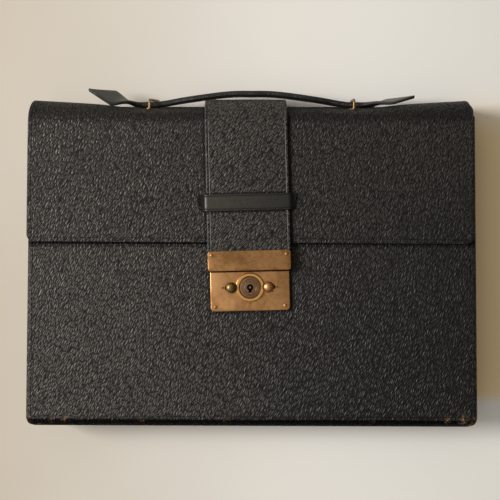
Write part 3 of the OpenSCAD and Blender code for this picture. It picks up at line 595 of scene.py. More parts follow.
def keeper_colour(finish, dark, light):
    """Lighter at its left end, where the window's light falls, in mottled patches (painted light), with a
    dark tooled line along both edges, and black past the strap as painted shade.
    """
    lock = in_lock_parts(finish)
    grain = finish.times(finish.noise(900, 5, roughness=0.7), 0.16)
    # Painted light: lighter towards the left, where the window's light falls, in mottled patches.
    painted_light_share = finish.span(finish.plus(lock["X"], grain), 0.13, 0.03)
    tooled = band(finish, finish.away(lock["Y"], keeper_up), keeper_half_w - keeper_line_in, 0.6 * mm, 0.25)
    # Painted shade: black where the keeper's ends dive past the strap into the slits.
    beyond = finish.span(finish.away(lock["X"]), strap_half + 0.8 * mm, strap_half + 1.7 * mm)
    lined = finish.mix(tooled, grey(8, 8, 7), finish.mix(painted_light_share, dark, light))
    return finish.mix(beyond, lined, grey(4, 4, 4)), beyond


def smooth_leather(name, dark, light, roughness, pore=2600, is_keeper=False):
    finish = Finish(name)
    pores = finish.noise(pore, 3)
    wrinkles = finish.noise(400, 4, finish.stretched((0.5, 1, 1)))
    rough = finish.span(pores, 0.3, 0.7, roughness - 0.06, roughness + 0.08)
    if is_keeper:
        colour, shaded_ends = keeper_colour(finish, grey(*dark), grey(*light))
        rough = finish.plus(rough, shaded_ends, clamp=True)
    else:
        colour = finish.mix(finish.span(finish.noise(60, 4), 0.3, 0.7), grey(*dark), grey(*light))
    height = finish.plus(finish.times(pores, 0.5), wrinkles)
    return finish.set(Base_Color=colour, Roughness=rough,
                      Normal=finish.bump(height, 0.45, (0.3 if is_keeper else 0.12) * mm))


keeper_leather = smooth_leather("Olive keeper leather", (20, 18, 14), (54, 50, 41), 0.42, is_keeper=True)
handle_leather = smooth_leather("Handle leather", (22, 21, 21), (38, 36, 35), 0.42, 1800)
painted_edge = smooth_leather("Painted leather edge", (26, 24, 22), (56, 52, 47), 0.46, 1200)
pocket_leather = smooth_leather("Brown pocket leather", (58, 40, 30), (84, 60, 45), 0.5)


def stitched_seam():
    """The line where the handle's two layers meet: dark, with specks of pale thread and raw edge."""
    finish = Finish("Handle seam")
    specks = finish.span(finish.noise(620, 2, finish.stretched((1, 0.6, 0.6))), 0.52, 0.62)
    colour = finish.mix(specks, grey(24, 22, 20), grey(150, 136, 112))
    return finish.set(Base_Color=colour, Roughness=0.7, Normal=finish.bump(specks, 0.6, 0.2 * mm))


handle_seam = stitched_seam()
print("handle leather nodes:", len(handle_leather.node_tree.nodes))

# %% [markdown]
# Most of the metal is pressed brass, long unpolished: warm brown in the hollows, yellower where
# cloth and fingers rub it. Broad blotches vary the tone, a stretched noise gives the fine drawn
# lines of rolled sheet, and small dark specks are where the lacquer has failed. On the lock's
# face, a dark line is painted under the hasp's edge as the hasp's shadow.

# %% Metals
def metal(name, dark, light, roughness, streak=0.12, specks=True, dirt=False):
    finish = Finish(name)
    fine = finish.times(finish.noise(300, 3), 0.4)
    blotch = finish.span(finish.plus(finish.noise(60, 4, roughness=0.6), fine), 0.52, 0.88)
    drawn = finish.noise(900, 3, finish.stretched((0.06, 1, 1)))
    colour = finish.mix(blotch, grey(*dark), grey(*light))
    rough = finish.plus(finish.span(blotch, 0, 1, roughness + 0.08, roughness - 0.05),
                        finish.times(drawn, 0.1))
    if specks:
        spot = finish.span(finish.noise(640, 3), 0.66, 0.74)
        colour = finish.mix(spot, colour, grey(*(0.5 * c for c in dark)))
        rough = finish.plus(rough, finish.times(spot, 0.2), clamp=True)
    # Painted shadow: a dark line on the lock's face just under the hasp's edge.
    if dirt:
        unshadowed = band(finish, in_lock_parts(finish)["Y"], hasp_low - 0.2 * mm, 1.1 * mm, 0.0)
        colour = finish.mix(unshadowed, grey(40, 26, 14), colour)
    return finish.set(Base_Color=colour, Metallic=1.0, Roughness=rough,
                      Normal=finish.bump(drawn, streak, 0.05 * mm))


aged_brass = metal("Aged brass", (162, 118, 75), (210, 158, 105), 0.38)
lock_brass = metal("Aged brass with dirt under the hasp", (162, 118, 75), (212, 160, 107), 0.38, dirt=True)
hasp_brass = metal("Browned brass", (134, 97, 60), (188, 140, 91), 0.42)
rubbed_brass = metal("Rubbed brass", (220, 164, 94), (242, 198, 126), 0.33, 0.06, specks=False)
disc_brass = metal("Browned disc brass", (128, 98, 72), (156, 122, 90), 0.36, 0.05, specks=False)
dark_brass = metal("Dark brass", (104, 84, 54), (138, 112, 72), 0.38)
wire_brass = metal("Wire brass", (122, 100, 68), (168, 140, 98), 0.34)
steel = metal("Steel", (112, 110, 106), (160, 158, 154), 0.34)
# Near-black iron, dark enough to stand in for the shade seen inside the lock through its holes (painted
# shade).
dark_iron = metal("Oiled iron", (30, 28, 26), (46, 43, 40), 0.5)
print("finishes so far:", len(bpy.data.materials))

# %% [markdown]
# Inside are things nobody polishes: grey-brown millboard and a woven cloth lining. The boards and
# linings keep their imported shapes, and only get these finishes. The side walls' boards show their
# ends at the mouth under the spine, where a maker inks them black, as the strap's edges are.

# %% Board and lining
def millboard():
    finish = Finish("Millboard")
    fibres = finish.noise(900, 5, finish.stretched((0.4, 1, 1)))
    colour = finish.mix(fibres, grey(150, 128, 98), grey(186, 164, 130))
    return finish.set(Base_Color=colour, Roughness=0.85, Normal=finish.bump(fibres, 0.4, 0.1 * mm))


def threads(finish, way, count):
    return finish.node("ShaderNodeTexWave", {"bands_direction": way}, Vector=finish.place, Scale=count,
                       Distortion=0.6).outputs["Fac"]


def lining_cloth():
    finish = Finish("Lining cloth")
    weave = finish.times(threads(finish, "X", 520.0), threads(finish, "Y", 640.0))
    stains = finish.span(finish.noise(18, 4), 0.3, 0.7)
    dyed = finish.mix(stains, grey(74, 58, 50), grey(98, 80, 68))
    colour = finish.mix(finish.times(weave, 0.5), dyed, grey(116, 98, 84))
    return finish.set(Base_Color=colour, Roughness=0.82, Normal=finish.bump(weave, 0.5, 0.12 * mm))


board, lining = millboard(), lining_cloth()


def refinish(material, *nodes):
    """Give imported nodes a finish; their shapes stay as they are."""
    for name in nodes:
        finishes = frame["nodes"][name].data.materials
        finishes.clear()
        finishes.append(material)


refinish(board, "back_board", "front_board", "bottom_wall_board", "spine_board", "flap_board")
refinish(painted_edge, "left_wall_board", "right_wall_board")
refinish(lining, "back_lining", "front_lining", "wall_lining", "spine_lining", "flap_lining", "divider")
refinish(pocket_leather, "letter_pocket")
# The lock's case and sliders are near-black, as painted shade seen through the keyhole and slots.
refinish(dark_iron, "lock_case", "left_slider", "right_slider")
refinish(steel, "lock_bolt", "key_post")
refinish(dark_brass, "hasp_back", "hasp_staples", "loop_washers", "loop_burrs", "lock_pins")
refinish(aged_brass, "lock_rivets")
print("packed nodes refinished")

# %% [markdown]
# The front and the walls are one skin on the real case, drawn over the boards and turned at the
# edges. It starts as a block of the case's size. One weighted bevel rounds each edge by its own
# radius: a wide roll along the bottom, a narrow one down the sides.

# %% The case's block
bottom_roll, side_roll, corner_r, back_roll = 8 * mm, 4 * mm, 7 * mm, 1.5 * mm


def weigh_edges(piece, weight_of):
    edit(piece)
    mesh = bmesh.from_edit_mesh(piece.data)
    layer = mesh.edges.layers.float.new("bevel_weight_edge")
    for edge in mesh.edges:
        edge[layer] = weight_of(middle(edge))
    bmesh.update_edit_mesh(piece.data)
    leave_edit()


def case_edge_weight(m):
    on_side, on_bottom = near(abs(m.x), half_w), near(m.y, bottom_y)
    on_front, on_back = near(m.z, front_z), near(m.z, 0)
    if on_side and on_bottom:
        return corner_r / bottom_roll
    if on_front and on_side:
        return side_roll / bottom_roll
    if on_front and on_bottom:
        return 1
    if on_back and (on_side or on_bottom):
        return back_roll / bottom_roll
    return 0


case_skin = slab("case_leather", (-half_w, half_w), (bottom_y, top_y + 10 * mm), (0, front_z))
weigh_edges(case_skin, case_edge_weight)
finish_modifier(case_skin, "BEVEL", width=bottom_roll, segments=7, limit_method="WEIGHT")
print("case block:", size_of(case_skin))

# %% [markdown]
# The mouth under the spine is cut by flat planes that touch the roll's curve, and the back is
# taken off. Then the skin is cut across, with close rows where lines will be pressed.

# %% Cut the case's mouth and rows
mouth_depth, mouth_steps = flap_t + spine_gap, 12
mouth_run, mouth_rise = roll_run - mouth_depth, roll_rise - mouth_depth
edit(case_skin)
for step in range(1, mouth_steps + 1):
    turn = math.radians(90 * step / mouth_steps)
    bisect((0, crease_y + mouth_run * math.sin(turn), roll_start + mouth_rise * math.cos(turn)),
           (0, math.sin(turn) / mouth_run, math.cos(turn) / mouth_rise), clear_outer=True)
bisect((0, 0, leather_t), (0, 0, 1), clear_inner=True)
leave_edit()

groove, line_in = 0.35 * mm, 0.8 * mm
line_x, line_y, seam_z = half_w - side_roll - line_in, bottom_y + bottom_roll + line_in, front_box[0].z
cut_across(case_skin, 0, places(-half_w, half_w, 3.2 * mm) + on_both_sides(groove_rows(line_x, groove)))
cut_across(case_skin, 1, places(bottom_y, top_y, 3.2 * mm) + groove_rows(line_y, groove))
cut_across(case_skin, 2, places(0, front_z, 4 * mm) + groove_rows(seam_z, groove))
print("case skin:", size_of(case_skin))

# %% [markdown]
# A line is pressed into the front with a hot tool, just inside the rolled edges, and a seam runs
# round the walls where the front's leather ends. Each is a real groove: its middle row of points
# is pushed in. A faint ripple, calm round the lock, keeps the panel from looking like sheet metal.

# %% Press the lines
line_depth, seam_depth = 0.35 * mm, 0.25 * mm
panel_sink, panel_ripple = 0.05 * mm, 0.22 * mm
hair = 0.02 * mm


def press_case(p):
    x, y, z = p.T
    front = z > front_z - 0.3 * mm
    inside = (np.abs(x) <= line_x + groove / 2) & (y >= line_y - groove / 2)
    on_line = near(np.abs(x), line_x, hair) | near(y, line_y, hair)
    p[front & inside & on_line, 2] -= line_depth
    seam = near(z, seam_z, hair)
    on_side = seam & (np.abs(x) > half_w - 0.1 * mm)
    p[on_side, 0] -= np.sign(x[on_side]) * seam_depth
    p[seam & (y < bottom_y + 0.1 * mm), 1] += seam_depth
    flat = front & (np.abs(x) < half_w - 8 * mm) & (y > bottom_y + 12 * mm) & (y < flap_end_y - 4 * mm)
    away = np.hypot(x[flat] - keyhole.x, y[flat] - keyhole.y)
    calm = np.clip((away - 45 * mm) / (40 * mm), 0, 1)
    p[flat, 2] += panel_ripple * ripple(x[flat], y[flat], 38 * mm, 3.1) * calm - panel_sink
    return p


shape(case_skin, press_case)
print("pressed:", size_of(case_skin))

# %% [markdown]
# The skin gets its thickness, and an opening behind the lock's plate. Its lower roll and the strip
# that the flap's edge overhangs take the shaded finish.

# %% Thicken and dress the case's skin
def in_shade(face):
    low = 0.5 * mm < face.center.y - bottom_y < painted_shade_roll and face.center.z > front_z - bottom_roll
    return low or near(face.center.y, flap_end_y, 2 * mm) and face.normal.z > 0.7


finish_modifier(case_skin, "SOLIDIFY", thickness=leather_t, offset=-1, use_even_offset=True)
opening_x, opening_y = (-30.4 * mm, 30.4 * mm), (-17.9 * mm, 25.4 * mm)
opening = slab("lock_opening", opening_x, opening_y, (30 * mm, 50 * mm))
turn_with_lock(opening)
cut_away(case_skin, opening)
dress(case_skin, leather, shaded_leather)
give_second(case_skin, in_shade)
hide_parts("front_cover", "wall_cover")
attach(case_skin, "case")
print("case skin:", size_of(case_skin))

# %% [markdown]
# The back is a flat skin whose top end bends up round the case's edge to meet the spine, and is a
# little narrower there. That bend is the hinge on which the whole spine opens.

# %% The back and its hinge
hinge_r = spine_foot - 0.5 * mm
narrow_y = top_y - 5 * mm
hinge_y = top_y - hinge_r
hinge_arc = hinge_r * math.pi / 2
back_end = hinge_y + hinge_arc + spine_foot - hinge_r
back_half = back_box[1].x


def wrap_hinge(p):
    x, y, z = p.T.copy()
    beyond = y > hinge_y
    turn = np.clip((y - hinge_y) / hinge_arc, 0, 1) * math.pi / 2
    extra = np.maximum(y - hinge_y - hinge_arc, 0)
    p[beyond, 1] = (hinge_y + (hinge_r - z) * np.sin(turn))[beyond]
    p[beyond, 2] = (hinge_r - (hinge_r - z) * np.cos(turn) + extra)[beyond]
    narrow = y > narrow_y
    p[narrow, 0] = np.clip(x, flap_left, flap_right)[narrow]
    return p


back_skin = slab("back_leather", (-back_half, back_half), (back_box[0].y, back_end), (0, leather_t))
edit(back_skin)
round_edges(back_skin, lambda e: near(abs(middle(e).x), back_half) and near(middle(e).y, back_box[0].y),
            corner_r, 8)
round_edges(back_skin, lambda e: is_rim(e, 0) and not near(middle(e).y, back_end), 0.8 * mm, 4)
leave_edit()
cut_across(back_skin, 0, places(-back_half, back_half, 6 * mm))
cut_across(back_skin, 1, places(back_box[0].y, hinge_y, 6 * mm) + places(hinge_y, back_end, 0.8 * mm)
           + [hinge_y, narrow_y, narrow_y + 0.1 * mm])
shape(back_skin, wrap_hinge)
tidy_normals(back_skin)
dress(back_skin, leather)
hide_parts("back_cover", "back_hinge_leather")
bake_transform(back_skin)
print("back:", size_of(back_skin))

# %% [markdown]
# Flap and spine are one piece of leather on the real case, folded round thin board, so that its
# edges are soft folds 2.8 mm thick. It is cut flat. The lower corners are rounded, the underside
# is hollowed for the board and the lining, the rim is bevelled into a fold, and a line is tooled
# round the top by three insets, of which the second sinks.

# %% Cut the flap flat
flap_corner_r, fold_r = 6 * mm, 1.1 * mm
crease_half = 3 * mm
flat_end = crease_y + spine_end
under_z = flap_top - flap_t
scrap, panel = 1e-4, 0.008                         # areas in square metres


def is_flap_rim(edge):
    """An outer edge of the top or the underside, and none round the hollow."""
    m = middle(edge)
    inwards = min(m.x - flap_left, flap_right - m.x, m.y - flap_end_y, flat_end - m.y)
    return ((is_rim(edge, flap_top) or is_rim(edge, under_z)) and inwards < 2.5 * mm
            and not any(near(middle(face).z, flap_top - leather_t) for face in edge.link_faces))


flap_skin = slab("flap_leather", (flap_left, flap_right), (flap_end_y, flat_end), (under_z, flap_top))
edit(flap_skin)
round_edges(flap_skin, lambda e: near(middle(e).z, flap_top - flap_t / 2) and near(middle(e).y, flap_end_y),
            flap_corner_r, 8)
choose(flap_skin, "FACE", faces_down)
bpy.ops.mesh.inset(thickness=turn_in)
for edge_y in (crease_y - crease_half, crease_y + crease_half):
    bpy.ops.mesh.bisect(plane_co=(0, edge_y, 0), plane_no=(0, 1, 0))
    choose(flap_skin, "FACE", lambda f: faces_down(f) and abs(middle(f).x) < 100 * mm
           and f.calc_area() > scrap)
choose(flap_skin, "FACE", lambda f: faces_down(f) and f.calc_area() > panel
       and abs(middle(f).y - crease_y) > crease_half)
extrude(flap_t - leather_t)
round_edges(flap_skin, is_flap_rim, fold_r, 4)
choose(flap_skin, "FACE", lambda f: f.normal.z > 0.99 and f.calc_area() > panel)
for inset, rise in ((1.9, 0), (0.4, -0.35), (0.4, 0.35)):
    bpy.ops.mesh.inset(thickness=inset * mm, depth=rise * mm)
leave_edit()
print("flap, cut flat:", size_of(flap_skin))

# %% [markdown]
# A flat face can't bend, so the piece is cut across, closely where it will bend most and where
# the keeper's slits will pucker it. Then it is wrapped over the roll.

# %% Cut it across, pucker the slits and wrap it
slit_top_x, slit_low_x = 38.2 * mm, 35.4 * mm
slit_sink, lip_rise = 0.9 * mm, 0.45 * mm
flap_hang, flap_ripple = 0.8 * mm, 0.3 * mm
slit_rows = on_both_sides((34, 35.2, 36.2, 37, 37.8, 38.6, 39.6, 41))
rows = places(flap_end_y, crease_y, 2.6 * mm) + places(crease_y, crease_y + roll_arc, 1.7 * mm)
rows += places(crease_y - 3.6 * mm, crease_y + 3.6 * mm, 0.8 * mm)
rows += places(crease_y + roll_arc, flat_end, 1.8 * mm) + [crease_y, crease_y + roll_arc]
cut_across(flap_skin, 0, places(flap_left, flap_right, 2.7 * mm)
           + [keyhole.x + x * mm - 1.8 * mm for x in slit_rows])
cut_across(flap_skin, 1, rows)


def slit_x(v):
    """How far out the slanting slits run at this height above the keyhole."""
    rise = np.clip((v - keeper_up + keeper_half_w) / (2 * keeper_half_w), -0.25, 1.25)
    return slit_low_x + (slit_top_x - slit_low_x) * rise


def in_lock_frame(x, y):
    dx, dy = x - keyhole.x, y - keyhole.y
    return (dx * math.cos(skew) + dy * math.sin(skew), -dx * math.sin(skew) + dy * math.cos(skew))


def pucker(p):
    """Sink the leather along the two slanting slits, and raise a soft lip beside each."""
    top = p[:, 2] > flap_top - 0.5 * mm
    u, v = in_lock_frame(p[:, 0], p[:, 1])
    across = np.abs(u) - slit_x(v)
    ends = np.clip(1.35 - np.abs(v - keeper_up) / keeper_half_w, 0, 0.45) / 0.45
    sink = slit_sink * np.exp(-(across / (0.9 * mm)) ** 2)
    lip = lip_rise * np.exp(-((across - 2.6 * mm) / (1.6 * mm)) ** 2)
    p[top, 2] += ((lip - sink) * ends)[top]
    return p


def soften_flap(p):
    """Let the lower edge hang lower to the right, and lift the whole thickness in a faint ripple."""
    x, y = p[:, 0], p[:, 1]
    p[:, 1] -= flap_hang * (x / half_w) * np.clip((crease_y - y) / (crease_y - flap_end_y), 0, 1)
    calm = np.clip((crease_y - y) / (20 * mm), 0, 1) * np.clip((y - flap_end_y) / (15 * mm), 0.2, 1)
    p[:, 2] += flap_ripple * (0.5 + 0.5 * ripple(x, y, 42 * mm, 8.3)) * calm
    return p


shape(flap_skin, pucker)
shape(flap_skin, soften_flap)
wrap(flap_skin, spine_sag, loop_pull)
dress(flap_skin, flap_leather)
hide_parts("flap_cover", "spine_cover", "crease_leather")
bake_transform(flap_skin)
print("flap:", size_of(flap_skin))

# %% [markdown]
# The strap runs from the spine's foot over the roll and down to the hasp. It bridges the sunken
# spine, because it is tight. Its two long edges are rounded and painted, and have rubbed lighter
# than the leather, with a tooled line just inside each.

# %% The strap
strap_t = 2.6 * mm
hasp_h, hasp_t, hasp_half = 15.8 * mm, 0.8 * mm, 32.4 * mm
hasp_high = hasp_low + hasp_h
strap_start = hasp_low + hasp_t + 0.2 * mm
strap_end, strap_fold = ((y - keyhole.y) / math.cos(skew) for y in (flat_end, crease_y))
strap_line = strap_half - 2.4 * mm
strap_crown, keeper_press = 0.25 * mm, 0.12 * mm

strap = slab("strap", (-strap_half, strap_half), (strap_start, strap_end), (flap_top, flap_top + strap_t))
edit(strap)
round_edges(strap, lambda e: near(abs(middle(e).x), strap_half)
            and not near(middle(e).z, flap_top + strap_t / 2), 0.9 * mm, 4)
leave_edit()
cut_across(strap, 0, places(-strap_half, strap_half, 3 * mm)
           + on_both_sides(groove_rows(strap_line, 0.4 * mm)))
cut_across(strap, 1, places(strap_start, strap_end, 1.8 * mm) + [hasp_high]
           + places(strap_fold - 4 * mm, strap_fold + 4 * mm, 0.8 * mm))


def press_strap(p):
    """Sink the lines, crown the middle, flatten it under the keeper, and narrow it in the hasp."""
    top = p[:, 2] > flap_top + strap_t - 0.1 * mm
    p[top & near(np.abs(p[:, 0]), strap_line, hair), 2] -= line_depth
    crown = np.clip(1 - (p[:, 0] / strap_half) ** 2, 0, 1) * np.clip((p[:, 1] - hasp_high) / (15 * mm), 0, 1)
    pressed = np.exp(-((p[:, 1] - keeper_up) / (9 * mm)) ** 4)
    p[top, 2] += (strap_crown * crown * (1 - pressed) - keeper_press * pressed)[top]
    hidden = p[:, 1] < hasp_high - 0.1 * mm
    p[hidden, 0] *= (hasp_half - hasp_t - 0.15 * mm) / strap_half
    return p


shape(strap, press_strap)
turn_with_lock(strap)
wrap(strap, strap_sag, 0)
dress(strap, strap_leather, painted_edge, angle=50)
give_second(strap, lambda face: abs(face.normal.x) > 0.5)
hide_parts("strap_spine", "strap_flap", "strap_crease")
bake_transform(strap)
print("strap:", size_of(strap))

# %% [markdown]
# The keeper is a band of smooth leather that crosses the strap and dives into the flap on both
# sides. It is wider at its upper edge, and its two long edges carry a tooled line.

# %% The keeper
keeper_top, keeper_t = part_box("keeper")[1].z, 1.5 * mm
keeper_reach = slit_top_x + 0.6 * mm
keeper_line, keeper_line_depth = keeper_half_w - keeper_line_in, 0.22 * mm
keeper_sag, end_sink = 0.25 * mm, 0.4 * mm
keeper = slab("keeper_band", (-keeper_reach, keeper_reach),
              (keeper_up - keeper_half_w, keeper_up + keeper_half_w), (keeper_top - keeper_t, keeper_top))
edit(keeper)
round_edges(keeper, lambda e: near(abs(middle(e).y - keeper_up), keeper_half_w) and abs(middle(e).x) < 1 * mm,
            0.5 * mm, 3)
leave_edit()
cut_across(keeper, 0, places(-keeper_reach, keeper_reach, 0.9 * mm))
cut_across(keeper, 1, [keeper_up + row for row in on_both_sides(groove_rows(keeper_line, 0.3 * mm))]
           + places(keeper_up - keeper_line, keeper_up + keeper_line, 2 * mm))


def bend_keeper(p):
    """Sink the tooled lines, slant the ends as the slits do, and dive into the flap beside the strap."""
    top = p[:, 2] > keeper_top - 0.1 * mm
    p[top & near(np.abs(p[:, 1] - keeper_up), keeper_line, hair), 2] -= keeper_line_depth
    p[:, 0] *= (slit_x(p[:, 1]) + 0.4 * mm) / keeper_reach
    fall = np.clip((np.abs(p[:, 0]) - strap_half + 0.5 * mm) / (slit_low_x - strap_half + 1.2 * mm), 0, 1)
    drop = keeper_top - flap_top - end_sink
    p[:, 2] -= drop * fall ** 1.7 * (1 - 0.35 * fall)
    p[:, 2] -= keeper_sag * np.clip(1 - np.abs(p[:, 0]) / strap_half, 0, 1)
    return p


shape(keeper, bend_keeper)
tidy_normals(keeper)
turn_with_lock(keeper)
dress(keeper, keeper_leather, angle=50)
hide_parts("keeper")
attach(keeper, "flap")
print("keeper:", size_of(keeper))

# %% [markdown]
# The hasp is a cap of pressed brass over the strap's end, held by two small rivets. Its face is
# a thin plate with round corners, and a skirt is folded down on three sides: the strap comes in
# on the fourth. Years of pressing have left it a little domed and dented.

# %% The hasp
hasp_foot, hasp_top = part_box("hasp_plate")[0].z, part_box("hasp_plate")[1].z
hasp_crown, hasp_dent = 0.16 * mm, 0.05 * mm


def is_skirt(face):
    """The narrow strips round the inset underside, but for the one where the strap comes in."""
    m = middle(face)
    inner = abs(m.x) < 5 * mm and face.calc_area() > scrap
    return (faces_down(face) and not inner and not near(m.y, hasp_high - hasp_t / 2, 0.3 * mm)
            and m.y < hasp_high - 2 * mm)


hasp = slab("hasp_cap", (-hasp_half, hasp_half), (hasp_low, hasp_high), (hasp_top - hasp_t, hasp_top))
edit(hasp)
round_edges(hasp, lambda e: near(middle(e).z, hasp_top - hasp_t / 2), 2.2 * mm, 6)
choose(hasp, "FACE", faces_down)
bpy.ops.mesh.inset(thickness=hasp_t)
choose(hasp, "FACE", is_skirt)
extrude(hasp_foot - hasp_top + hasp_t)
round_edges(hasp, lambda e: is_rim(e, hasp_top), 0.55 * mm, 4)
leave_edit()
cut_across(hasp, 0, places(-hasp_half, hasp_half, 4 * mm))
cut_across(hasp, 1, places(hasp_low, hasp_high, 2 * mm))


def crown_hasp(p):
    top = p[:, 2] > hasp_top - hasp_t - 0.05 * mm
    crown = (1 - (p[:, 0] / hasp_half) ** 2) * (1 - ((p[:, 1] - hasp_low - hasp_h / 2) / (hasp_h / 2)) ** 2)
    dents = ripple(p[:, 0], p[:, 1], 11 * mm, 4.4)
    p[top, 2] += ((hasp_crown + hasp_dent * dents) * np.clip(crown, 0, 1))[top]
    return p


shape(hasp, crown_hasp)
turn_with_lock(hasp)
dress(hasp, hasp_brass, angle=45)
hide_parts("hasp_plate")
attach(hasp, "flap")
refinish(hasp_brass, "hasp_rivets")
print("hasp:", size_of(hasp))

# %% [markdown]
# The lock's face is pressed up from sheet, so it has soft edges and is hollow behind. The studs
# slide in shallow round recesses, the hasp's staples enter two slots, and a round hole under the
# key ring lets the key in. All are cut with rods and blocks, as a punch would cut them.

# %% The lock plate
plate_low_z, plate_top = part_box("lock_plate")[0].z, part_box("lock_plate")[1].z
plate_mid_z, plate_t = (plate_low_z + plate_top) / 2, 1 * mm
through = (plate_low_z, plate_top + 5 * mm)
stud_x, stud_r, stud_travel = 14.6 * mm, 4.2 * mm, joints["right_catch_slide"]["range_m"][1]
recess_depth, neck_r = 0.35 * mm, 1.8 * mm
staple_x, staple_y = (18.9 * mm, 21.1 * mm), (14.9 * mm, 24 * mm)
keyhole_r = 2.5 * mm

lock_face = slab("lock_face", (-plate_half, plate_half), (-plate_below, plate_above),
                 (plate_low_z, plate_top))
edit(lock_face)
round_edges(lock_face, lambda e: near(middle(e).z, plate_mid_z) and middle(e).y < 0, 3 * mm, 7)
round_edges(lock_face, lambda e: near(middle(e).z, plate_mid_z) and middle(e).y > 25 * mm, 1 * mm, 4)
choose(lock_face, "FACE", faces_down)
bpy.ops.mesh.inset(thickness=plate_t)
extrude(plate_top - plate_low_z - plate_t)
round_edges(lock_face, lambda e: is_rim(e, plate_top), 0.8 * mm, 5)
leave_edit()
for side in (-1, 1):
    recess = (plate_top - recess_depth, through[1])
    cut_away(lock_face, rod("recess", stud_r + 0.9 * mm, recess, (side * stud_x, 0)))
    neck_x = side * (stud_x + stud_travel / 2)
    neck = rod("neck_slot", neck_r, through, (neck_x, 0))
    shape(neck, lambda p: np.c_[p[:, 0] + np.sign(p[:, 0] - neck_x) * stud_travel / 2, p[:, 1:]])
    cut_away(lock_face, neck)
    cut_away(lock_face, slab("staple_room", sorted(side * x for x in staple_x), staple_y, through))
cut_away(lock_face, rod("key_opening", keyhole_r + 1.5 * mm, through))
tidy_normals(lock_face)
turn_with_lock(lock_face)
dress(lock_face, lock_brass)
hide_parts("lock_plate")
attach(lock_face, "case")
print("lock face:", size_of(lock_face))

# %% [markdown]
# The key ring was turned on a lathe, and is made the same way: a short rod whose top is inset
# again and again, up for the rim, down for the groove, with two fine rings on the disc. The
# keyhole is cut last, and the studs' recesses bite into the rim.

# %% The key ring
ring_low_z, ring_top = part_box("key_escutcheon")[0].z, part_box("key_escutcheon")[1].z
past_ring = (ring_low_z - 1 * mm, ring_top + 5 * mm)
ring_r, disc_r = 11.4 * mm, 8.5 * mm
ring = rod("key_ring", ring_r, (ring_low_z, ring_low_z + 0.5 * mm), sides=96)
edit(ring)
choose(ring, "FACE", lambda f: f.normal.z > 0.9)
for inset, rise in ((0.4, 0.6), (0.3, 0.2), (1.7, 0.0), (0.25, -0.35), (0.15, -0.65), (0.25, 0.0),
                    (0.35, 0.45), (1.5, 0.15), (0.2, -0.2), (0.25, 0.0), (0.2, 0.2), (1.0, 0.05),
                    (0.2, -0.15), (0.2, 0.0), (0.2, 0.15)):
    bpy.ops.mesh.inset(thickness=inset * mm, depth=rise * mm)
leave_edit()
for side in (-1, 1):
    cut_away(ring, rod("bite", stud_r + 0.7 * mm, past_ring, (side * stud_x, 0)))
cut_away(ring, rod("key_round", keyhole_r, past_ring))
cut_away(ring, slab("key_slot", (-1.2 * mm, 1.2 * mm), (-5 * mm, 0), past_ring))
tidy_normals(ring)
turn_with_lock(ring)
dress(ring, rubbed_brass, disc_brass, angle=30)
give_second(ring, lambda face: math.hypot(*in_lock_frame(*face.center.xy)) < disc_r + 0.35 * mm)
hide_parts("key_escutcheon")
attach(ring, "case")
print("key ring:", size_of(ring))

# %% [markdown]
# The two studs are domes on short necks: half a ball, flattened, with a rim that rolls under.
# The left one is of darker brass than the right one.

# %% The studs
stud_low, stud_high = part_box("right_stud")
head_z, neck_inset = plate_top + 0.3 * mm, 1.5 * mm


def stud(name, side, finish, body, node):
    bpy.ops.object.select_all(action="DESELECT")
    bpy.ops.mesh.primitive_uv_sphere_add(segments=40, ring_count=20, radius=stud_r,
                                         location=(side * stud_x, 0, head_z))
    piece = start(name)
    edit(piece)
    bisect((0, 0, head_z), (0, 0, 1), clear_inner=True, use_fill=True)
    choose(piece, "FACE", faces_down)
    bpy.ops.mesh.inset(thickness=stud_r - neck_inset)
    extrude(stud_low.z - head_z)
    leave_edit()

    def flatten(p):
        above = p[:, 2] > head_z
        p[above, 2] = head_z + (p[above, 2] - head_z) * (stud_high.z - head_z) / stud_r
        return p

    shape(piece, flatten)
    tidy_normals(piece)
    turn_with_lock(piece)
    dress(piece, finish, angle=50)
    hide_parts(node)
    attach(piece, body)
    return piece


stud("left_stud_head", -1, dark_brass, "left_catch", "left_stud")
right_stud = stud("right_stud_head", 1, aged_brass, "right_catch", "right_stud")
print("stud:", size_of(right_stud))

# %% [markdown]
# Behind each stud hides a bowed leaf of spring steel, which presses its slider home. The packed
# leaf is rigid, and a slid stud would run into it. This one is bent from a flat strip.

# %% The leaf springs
leaf_low, leaf_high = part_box("right_spring")
leaf_half, leaf_t, leaf_mid = 13 * mm, 0.4 * mm, 2 * mm
leaf_crown, leaf_bow, leaf_wall = 25.5 * mm, 3.3 * mm, 29.25 * mm


def leaf_spring(name, side, node):
    piece = slab(name, (0, leaf_t), (leaf_mid - leaf_half, leaf_mid + leaf_half), (leaf_low.z, leaf_high.z))
    cut_across(piece, 1, places(leaf_mid - leaf_half, leaf_mid + leaf_half, 0.9 * mm))

    def bow(p):
        p[:, 0] = side * (leaf_crown + p[:, 0] + leaf_bow * ((p[:, 1] - leaf_mid) / leaf_half) ** 2)
        return p

    shape(piece, bow)
    tidy_normals(piece)
    turn_with_lock(piece)
    dress(piece, steel, angle=40)
    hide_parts(node)
    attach(piece, "case")
    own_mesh(piece)
    return piece


leaf_spring("left_leaf_spring", -1, "left_spring")
right_leaf = leaf_spring("right_leaf_spring", 1, "right_spring")
print("leaf spring:", size_of(right_leaf))

# %% [markdown]
# The handle is a strap of two layers, stitched along its edges, wide at the grip and narrow where
# it passes the loops. Beyond each loop it opens into an arrow-shaped tab that keeps it from
# slipping out. It is made in two halves, because each end slides through its own loop. A bar is
# cut into many slices, and each slice takes its width, thickness, height and twist from the
# handle's curve.

